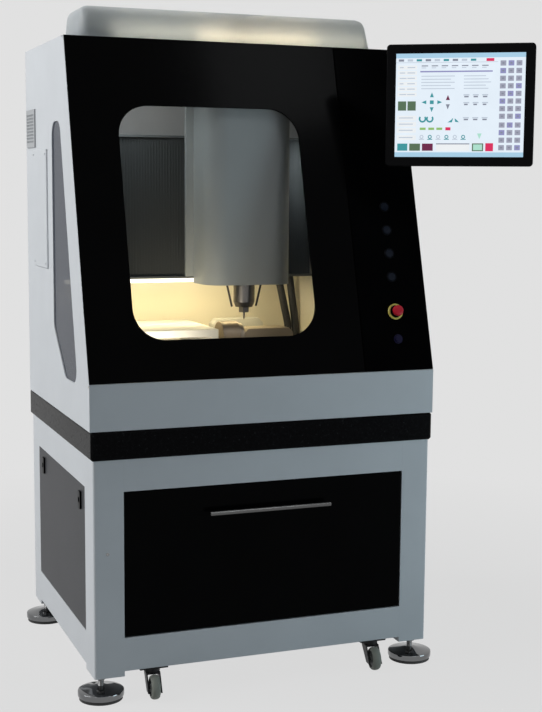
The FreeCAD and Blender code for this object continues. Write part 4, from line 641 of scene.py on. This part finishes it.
BEZEL_RING = [
    (0.0114, 0.0), (0.0148, 0.0), (0.0148, 0.0012), (0.0142, 0.0019), (0.0120, 0.0019), (0.0114, 0.0014),
]
BUTTON_CAP = [
    (0, -0.0195), (0.0045, -0.0195), (0.0045, -0.0049), (0.0109, -0.0049), (0.0109, 0.0016),
    (0.0104, 0.0024), (0.0092, 0.0024), (0.0060, 0.0019), (0, 0.0017),
]
COLLAR_RING = [
    (0.0093, 0.0), (0.022, 0.0), (0.022, 0.0028), (0.0212, 0.0039), (0.0150, 0.0040), (0.0093, 0.0034),
]
SLEEVE_RING = [(0.0093, 0.0036), (0.0172, 0.0036), (0.0172, 0.0050), (0.0163, 0.0060), (0.0093, 0.0060)]
MUSHROOM = [
    (0, -0.0235), (0.0089, -0.0235), (0.0089, 0.0120), (0.0128, 0.0131), (0.0146, 0.0145),
    (0.0150, 0.0170), (0.0149, 0.0200), (0.0142, 0.0228), (0.0122, 0.0249), (0.0080, 0.0258), (0, 0.0260),
]


def on_face(height):
    """Frame on the sloping face, at this height up the slope, with its z axis out of the face."""
    return ON_SLOPE @ Matrix.Translation((CONTROL_X, 0, height)) @ FACE_FRONT


def push_buttons():
    """Dished buttons in one piece each, and their bezels."""
    bezels = bmesh.new()
    for i in range(BUTTON_COUNT):
        place = on_face(FIRST_BUTTON + BUTTON_PITCH * i)
        lathe(bezels, BEZEL_RING, place, BUTTON_SIDES, loop=True)
        bm = bmesh.new()
        lathe(bm, BUTTON_CAP, place, BUTTON_SIDES)
        name = f"button_{i + 1}"
        piece(name + "_dished", bm, "button_grey", name, replaces=(name,))
    piece("button_bezels", bezels, "bezel", "machine_frame")


def emergency_stop():
    """Yellow collar, black sleeve and red mushroom head."""
    place = on_face(STOP_PLACE)
    collar = bmesh.new()
    lathe(collar, COLLAR_RING, place, STOP_SIDES, loop=True)
    replaced = ("estop_ring",)
    piece("stop_collar", collar, "stop_yellow", "machine_frame", replaces=replaced)
    sleeve = bmesh.new()
    lathe(sleeve, SLEEVE_RING, place, STOP_SIDES, loop=True)
    piece("stop_sleeve", sleeve, "black_plastic", "machine_frame")
    head = bmesh.new()
    lathe(head, MUSHROOM, place, STOP_SIDES)
    piece("stop_mushroom", head, "stop_red", "estop", replaces=("estop_button",))


# Bellows

def pleats(bm, x0, x1, folds, back):
    """Columns of points along one side of the pleated fabric, set back by this much."""
    count = folds * FOLD_POINTS
    columns = []
    for i in range(count + 1):
        x = x0 + (x1 - x0) * i / count
        wave = 0.5 + 0.5 * math.cos(2 * math.pi * i / FOLD_POINTS)
        y = BELLOWS_FRONT + FOLD_DEPTH * wave ** FOLD_SHARPNESS + back
        columns.append([bm.verts.new((x, y, z)) for z in BELLOWS_ROWS])
    return columns


def bridge(bm, first, second):
    """Faces between two rows of as many points."""
    for k in range(len(first) - 1):
        bm.faces.new((first[k], second[k], second[k + 1], first[k + 1]))


def bellows(name, x0, x1, folds, bodies):
    """Pleated cover between two end frames: two sides of fabric, closed all round."""
    bm = bmesh.new()
    outer = pleats(bm, x0, x1, folds, 0.0)
    inner = pleats(bm, x0, x1, folds, FABRIC_THICK)
    for columns in (outer, inner):
        for a, b in zip(columns, columns[1:]):
            bridge(bm, a, b)
    for end in (0, -1):
        bridge(bm, [column[end] for column in outer], [column[end] for column in inner])
        bridge(bm, outer[end], inner[end])
    obj = piece(name, bm, "bellows_fabric", None, FABRIC_SMOOTH)
    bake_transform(obj)
    return obj


def way_covers():
    left = bellows("bellows_left", *LEFT_COVER, LEFT_FOLDS, ("machine_frame", "x_carriage"))
    bellows("bellows_right", *RIGHT_COVER, RIGHT_FOLDS, ("x_carriage", "machine_frame"))
    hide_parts("way_bellows")


# Screen picture

TINTS = {
    "ui_white": (0.90, 0.93, 0.95), "ui_bar": (0.42, 0.66, 0.84), "ui_teal": (0.05, 0.32, 0.36),
    "ui_green": (0.10, 0.17, 0.10), "ui_lime": (0.30, 0.55, 0.16), "ui_red": (0.75, 0.03, 0.12),
    "ui_maroon": (0.16, 0.02, 0.07), "ui_grey": (0.25, 0.27, 0.34), "ui_violet": (0.30, 0.30, 0.55),
    "ui_line": (0.55, 0.62, 0.72), "ui_mint": (0.45, 0.80, 0.66), "ui_slate": (0.36, 0.37, 0.47),
}
ASPECT = 1.25


def tints():
    for tint, colour in TINTS.items():
        glow(tint, colour, SCREEN_LIGHT)


class Picture:
    """Flat shapes on the screen. u runs to the right and v down, both from 0 to 1."""

    def __init__(self):
        self.meshes = {name: bmesh.new() for name in TINTS}

    def shape(self, tint, points, level=1):
        bm = self.meshes[tint]
        verts = []
        for u, v in points:
            local = Vector(((u - 0.5) * SCREEN_WIDTH, -SCREEN_LAYER * level, (0.5 - v) * SCREEN_HEIGHT))
            verts.append(bm.verts.new(ON_SCREEN @ local))
        bm.faces.new(verts)

    def bar(self, tint, u0, v0, u1, v1, level=1):
        self.shape(tint, [(u0, v1), (u1, v1), (u1, v0), (u0, v0)], level)

    def arrow(self, tint, u, v, du, dv, size):
        """Triangle that points along (du, dv)."""
        w = size
        h = size * ASPECT
        tip = (u + du * w, v + dv * h)
        a = (u - du * w + dv * w * 0.8, v - dv * h + du * h * 0.8)
        b = (u - du * w - dv * w * 0.8, v - dv * h - du * h * 0.8)
        self.shape(tint, [tip, a, b], 2)

    def curl(self, tint, u, v, r, start, sweep):
        """Part of a ring, from the angle start over the angle sweep in degrees."""
        steps = 10
        inner = r * 0.55
        for i in range(steps):
            a0 = math.radians(start + sweep * i / steps)
            a1 = math.radians(start + sweep * (i + 1) / steps)
            corners = []
            for radius, a in ((r, a0), (r, a1), (inner, a1), (inner, a0)):
                corners.append((u + radius * math.cos(a), v + radius * ASPECT * math.sin(a)))
            self.shape(tint, corners, 2)

    def place(self):
        for tint, bm in self.meshes.items():
            obj = piece("screen_" + tint, bm, tint, "screen")
            obj.visible_shadow = False


def draw_bars(picture):
    """Bars along the upper and lower edges, and the row of tabs."""
    picture.bar("ui_bar", 0.0, 0.0, 1.0, 0.045)
    picture.bar("ui_bar", 0.0, 0.955, 1.0, 1.0)
    picture.bar("ui_line", 0.0, 0.085, 0.79, 0.09)
    picture.bar("ui_red", 0.70, 0.052, 0.76, 0.08)
    for i in range(9):
        u = 0.07 * i
        picture.bar(("ui_grey", "ui_line", "ui_teal")[i % 3], 0.02 + u, 0.055, 0.062 + u, 0.076)
    for i in range(7):
        u = 0.078 * i
        picture.bar("ui_grey", 0.20 + u, 0.115, 0.250 + u, 0.125)
        picture.bar("ui_line", 0.20 + u, 0.135, 0.235 + u, 0.143)


def draw_left_column(picture):
    """Fields down the left side."""
    for i in range(6):
        v = 0.115 + 0.052 * i
        picture.bar("ui_white", 0.015, v, 0.165, v + 0.038)
        picture.bar("ui_line", 0.03, v + 0.014, 0.06 + 0.012 * (i % 3), v + 0.024, 2)
        picture.bar("ui_line", 0.09, v + 0.014, 0.15, v + 0.024, 2)
    for u in (0.02, 0.095):
        picture.bar("ui_green", u, 0.46, u + 0.065, 0.55)
    for v in (0.60, 0.66, 0.72, 0.79):
        picture.bar("ui_white", 0.015, v, 0.165, v + 0.045)
        picture.bar("ui_line", 0.03, v + 0.016, 0.14, v + 0.026, 2)


def draw_lists(picture):
    """Heading and two columns of short lines."""
    picture.bar("ui_violet", 0.19, 0.168, 0.75, 0.182)
    for i in range(5):
        v = 0.215 + 0.03 * i
        picture.bar("ui_line", 0.20, v, 0.46 - 0.03 * (i % 2), v + 0.008)
        picture.bar("ui_line", 0.53, v, 0.70 + 0.02 * (i % 3), v + 0.008)


def draw_arrows(picture):
    """Cross of arrows, up and down arrows, and curls."""
    for du, dv in ((1, 0), (-1, 0), (0, 1), (0, -1)):
        picture.arrow("ui_teal", 0.285 + 0.062 * du, 0.47 + 0.072 * dv, du, dv, 0.019)
    picture.bar("ui_teal", 0.270, 0.452, 0.300, 0.488)
    picture.arrow("ui_maroon", 0.41, 0.425, 0, -1, 0.020)
    picture.arrow("ui_grey", 0.41, 0.515, 0, 1, 0.020)
    picture.curl("ui_teal", 0.215, 0.63, 0.030, -40, 260)
    picture.curl("ui_teal", 0.272, 0.63, 0.030, -40, 260)
    picture.shape("ui_teal", [(0.41, 0.665), (0.445, 0.665), (0.455, 0.62), (0.435, 0.645)], 2)
    picture.shape("ui_teal", [(0.465, 0.625), (0.47, 0.66), (0.50, 0.665), (0.485, 0.645)], 2)


def draw_switches(picture):
    """Value fields, lamps and round switches in the middle."""
    for row, v in enumerate((0.395, 0.470, 0.615)):
        for i in range(3):
            u = 0.53 + 0.072 * i
            picture.bar("ui_line", u, v, u + 0.046, v + 0.012)
            picture.bar("ui_grey", u + 0.006, v + 0.016, u + 0.040 - 0.006 * (row % 2), v + 0.030)
    for u in (0.195, 0.262, 0.325):
        picture.bar("ui_lime", u, 0.715, u + 0.046, 0.738)
    picture.bar("ui_red", 0.395, 0.712, 0.435, 0.742)
    for i, u in enumerate((0.21, 0.275, 0.34, 0.405, 0.47, 0.535)):
        tint = ("ui_line", "ui_teal")[i % 2]
        picture.curl(tint, u, 0.805, 0.016, 0, 360)
        picture.bar(tint, u - 0.02, 0.825, u + 0.02, 0.833)
    picture.arrow("ui_mint", 0.66, 0.80, 0, 1, 0.022)


def draw_lower_row(picture):
    """Large fields above the lower bar."""
    picture.bar("ui_teal", 0.02, 0.87, 0.10, 0.94)
    picture.bar("ui_green", 0.115, 0.87, 0.20, 0.94)
    picture.bar("ui_maroon", 0.215, 0.87, 0.30, 0.94)
    picture.bar("ui_grey", 0.325, 0.868, 0.585, 0.878)
    picture.bar("ui_white", 0.325, 0.878, 0.585, 0.942)
    picture.bar("ui_green", 0.605, 0.868, 0.692, 0.944)
    picture.bar("ui_mint", 0.614, 0.878, 0.683, 0.934, 2)
    picture.bar("ui_red", 0.708, 0.866, 0.768, 0.944)


def draw_keys(picture):
    """Grid of keys down the right side, with a wider gap after the eighth row."""
    for row in range(12):
        gap = 0.012 if row > 7 else 0.0
        v = 0.075 + 0.0725 * row + gap
        for column in range(3):
            u = 0.808 + 0.061 * column
            tint = "ui_violet" if (row + column) % 4 == 1 else "ui_slate"
            picture.bar(tint, u, v, u + 0.044, v + 0.05)
            picture.bar("ui_grey", u + 0.014, v + 0.018, u + 0.030, v + 0.032, 2)


def screen_picture():
    picture = Picture()
    draw_bars(picture)
    draw_left_column(picture)
    draw_lists(picture)
    draw_arrows(picture)
    draw_switches(picture)
    draw_lower_row(picture)
    draw_keys(picture)
    picture.place()


# Studio

def seen_ray(tree):
    """1 for camera, mirror and see-through rays."""
    path = add(tree, "LightPath")
    seen = path.outputs["Is Camera Ray"]
    for kind in ("Is Glossy Ray", "Is Transmission Ray"):
        either = add(tree, "Math", operation="MAXIMUM")
        tree.links.new(seen, either.inputs[0])
        tree.links.new(path.outputs[kind], either.inputs[1])
        seen = either.outputs["Value"]
    return seen


def mixed(tree, share, first, second):
    """Shader that turns from the first to the second as the share grows."""
    mix = add(tree, "MixShader")
    tree.links.new(share, mix.inputs[0])
    tree.links.new(first.outputs[0], mix.inputs[1])
    tree.links.new(second.outputs[0], mix.inputs[2])
    return mix.outputs[0]


def world():
    """Even backdrop for rays that are seen, and a faint bluish light for the others."""
    studio = bpy.data.worlds.new("studio")
    bpy.context.scene.world = studio
    studio.use_nodes = True
    tree = studio.node_tree
    tree.nodes.clear()
    ambient = add(tree, "Background", Color=AMBIENT, Strength=AMBIENT_STRENGTH)
    backdrop = add(tree, "Background", Color=BACKDROP, Strength=1.0)
    out = add(tree, "OutputWorld")
    tree.links.new(mixed(tree, seen_ray(tree), ambient, backdrop), out.inputs["Surface"])


def floor_finish():
    """Matt grey that shows mostly as the backdrop, a little less so near the machine."""
    tree, bsdf = blank("floor")
    adjust(bsdf, Base_Color=FLOOR_GREY, Roughness=0.9, Specular_IOR_Level=0.0)
    pale = add(tree, "Emission", Color=BACKDROP, Strength=1.0)
    ball = add(tree, "TexGradient", gradient_type="SPHERICAL")
    tree.links.new(object_coords(tree, FLOOR_FADE), ball.inputs["Vector"])
    share = map_range(tree, ball.outputs["Fac"], FLOOR_FADE_RANGE, FLOOR_BACKDROP_SHARE)
    amount = add(tree, "Math", operation="MULTIPLY")
    tree.links.new(share, amount.inputs[0])
    tree.links.new(seen_ray(tree), amount.inputs[1])
    shown = mixed(tree, amount.outputs["Value"], bsdf, pale)
    tree.links.new(shown, tree.nodes["Material Output"].inputs["Surface"])


def floor():
    bm = bmesh.new()
    bmesh.ops.create_grid(bm, x_segments=8, y_segments=8, size=FLOOR_HALF)
    mesh = bpy.data.meshes.new("floor")
    bm.to_mesh(mesh)
    bm.free()
    obj = bpy.data.objects.new("floor", mesh)
    bpy.context.scene.collection.objects.link(obj)
    floor_finish()
    mesh.materials.append(MATERIALS["floor"])


def area(name, place, target, size, power, colour, size_y=None):
    """Area lamp at a place, turned to a target, in watts. A lamp with size_y is a rectangle."""
    light = bpy.data.lights.new(name, "AREA")
    light.energy = power
    light.color = colour
    light.size = size
    if size_y:
        light.shape = "RECTANGLE"
        light.size_y = size_y
    obj = bpy.data.objects.new(name, light)
    bpy.context.scene.collection.objects.link(obj)
    obj.location = place
    obj.visible_camera = False
    direction = Vector(target) - obj.location
    obj.rotation_euler = direction.to_track_quat("-Z", "Y").to_euler()


def room_lamps():
    area("key", (-4.2, 0.4, 3.2), (0, 0, 1.2), 2.6, 174, (0.98, 0.99, 1.0))
    area("right", (2.1, -2.0, 0.55), (0, -0.4, 0.6), 1.0, 17, (0.70, 0.90, 1.0))
    area("sheen", (0.98, -2.00, 3.05), (0.12, -0.17, 1.68), 0.6, 6.0, (0.95, 0.98, 1.0))
    area("top", (0.3, 0.6, 4.2), (0, 0, 1.0), 2.5, 20, (1, 1, 1))


def chamber_lamps():
    """Light of the bar over the table, and what the walls of the chamber throw back."""
    warm = (1.0, 0.83, 0.46)
    cool = (0.86, 0.96, 1.0)
    area("bar_down", (-0.17, 0.0, 1.056), (-0.17, 0.06, 0.7), 0.55, 1.6, warm, 0.012)
    area("bar_back", (-0.12, 0.012, 1.056), (-0.12, 0.20, 0.98), 0.60, 0.20, warm, 0.012)
    area("bar_low", (-0.27, -0.320, 0.900), (-0.27, 0.0, 0.93), 0.22, 1.0, (1.0, 0.90, 0.70), 0.012)
    area("bellows_light_left", (-0.33, -0.12, 1.57), (-0.33, -0.06, 1.2), 0.16, 0.45, cool, 0.03)
    area("bellows_light_right", (0.200, -0.070, 1.37), (0.222, 0.0, 1.34), 0.02, 0.11, cool, 0.16)
    area("chamber_top", (-0.28, -0.02, 1.60), (-0.28, 0.30, 1.56), 0.20, 0.28, (1.0, 0.98, 0.92), 0.05)
    area("chamber_left", (-0.45, -0.16, 1.30), (0, -0.14, 1.22), 0.10, 0.05, cool, 0.30)


def hood_lamps():
    """Light inside the translucent hood."""
    area("under_hood", (0.06, 0.04, 1.66), (0.06, 0.04, 1.80), 0.66, 0.22, (1.0, 0.95, 0.86), 0.10)
    area("hood_front", (0.04, -0.052, 1.7165), (0.04, -0.070, 1.80), 0.74, 0.25, (1.0, 0.94, 0.80), 0.012)
    area("hood_warm", (0.08, -0.052, 1.7165), (0.08, -0.075, 1.78), 0.34, 0.13, (1.0, 0.76, 0.46), 0.012)


def camera_axes():
    """Right, up and back of the camera, as the columns of a matrix."""
    reach = math.cos(CAMERA_PITCH)
    ahead = Vector((math.sin(CAMERA_YAW) * reach, math.cos(CAMERA_YAW) * reach, math.sin(CAMERA_PITCH)))
    level = Vector((math.cos(CAMERA_YAW), -math.sin(CAMERA_YAW), 0))
    upright = level.cross(ahead)
    right = math.cos(CAMERA_ROLL) * level + math.sin(CAMERA_ROLL) * upright
    up = -math.sin(CAMERA_ROLL) * level + math.cos(CAMERA_ROLL) * upright
    return Matrix((right, up, -ahead)).transposed().to_4x4()


def camera():
    data = bpy.data.cameras.new("photo")
    data.sensor_width = SENSOR_WIDTH
    data.lens = SENSOR_WIDTH * FOCAL_PIXELS / FRAME_PIXELS
    data.clip_end = 100
    obj = bpy.data.objects.new("photo", data)
    bpy.context.scene.collection.objects.link(obj)
    obj.matrix_world = Matrix.Translation(CAMERA_PLACE) @ camera_axes()
    bpy.context.scene.camera = obj


paints()
metals()
plastics()
soft_stuff()
stone_and_glass()
tints()
dress_nodes()
feet()
wheels()
stand_screws()
vent_filter()
edge_trim()
slit_shade_strip()
hood()
push_buttons()
emergency_stop()
way_covers()
screen_picture()
world()
floor()
room_lamps()
chamber_lamps()
hood_lamps()
camera()
bpy.context.scene.view_settings.view_transform = "Standard"
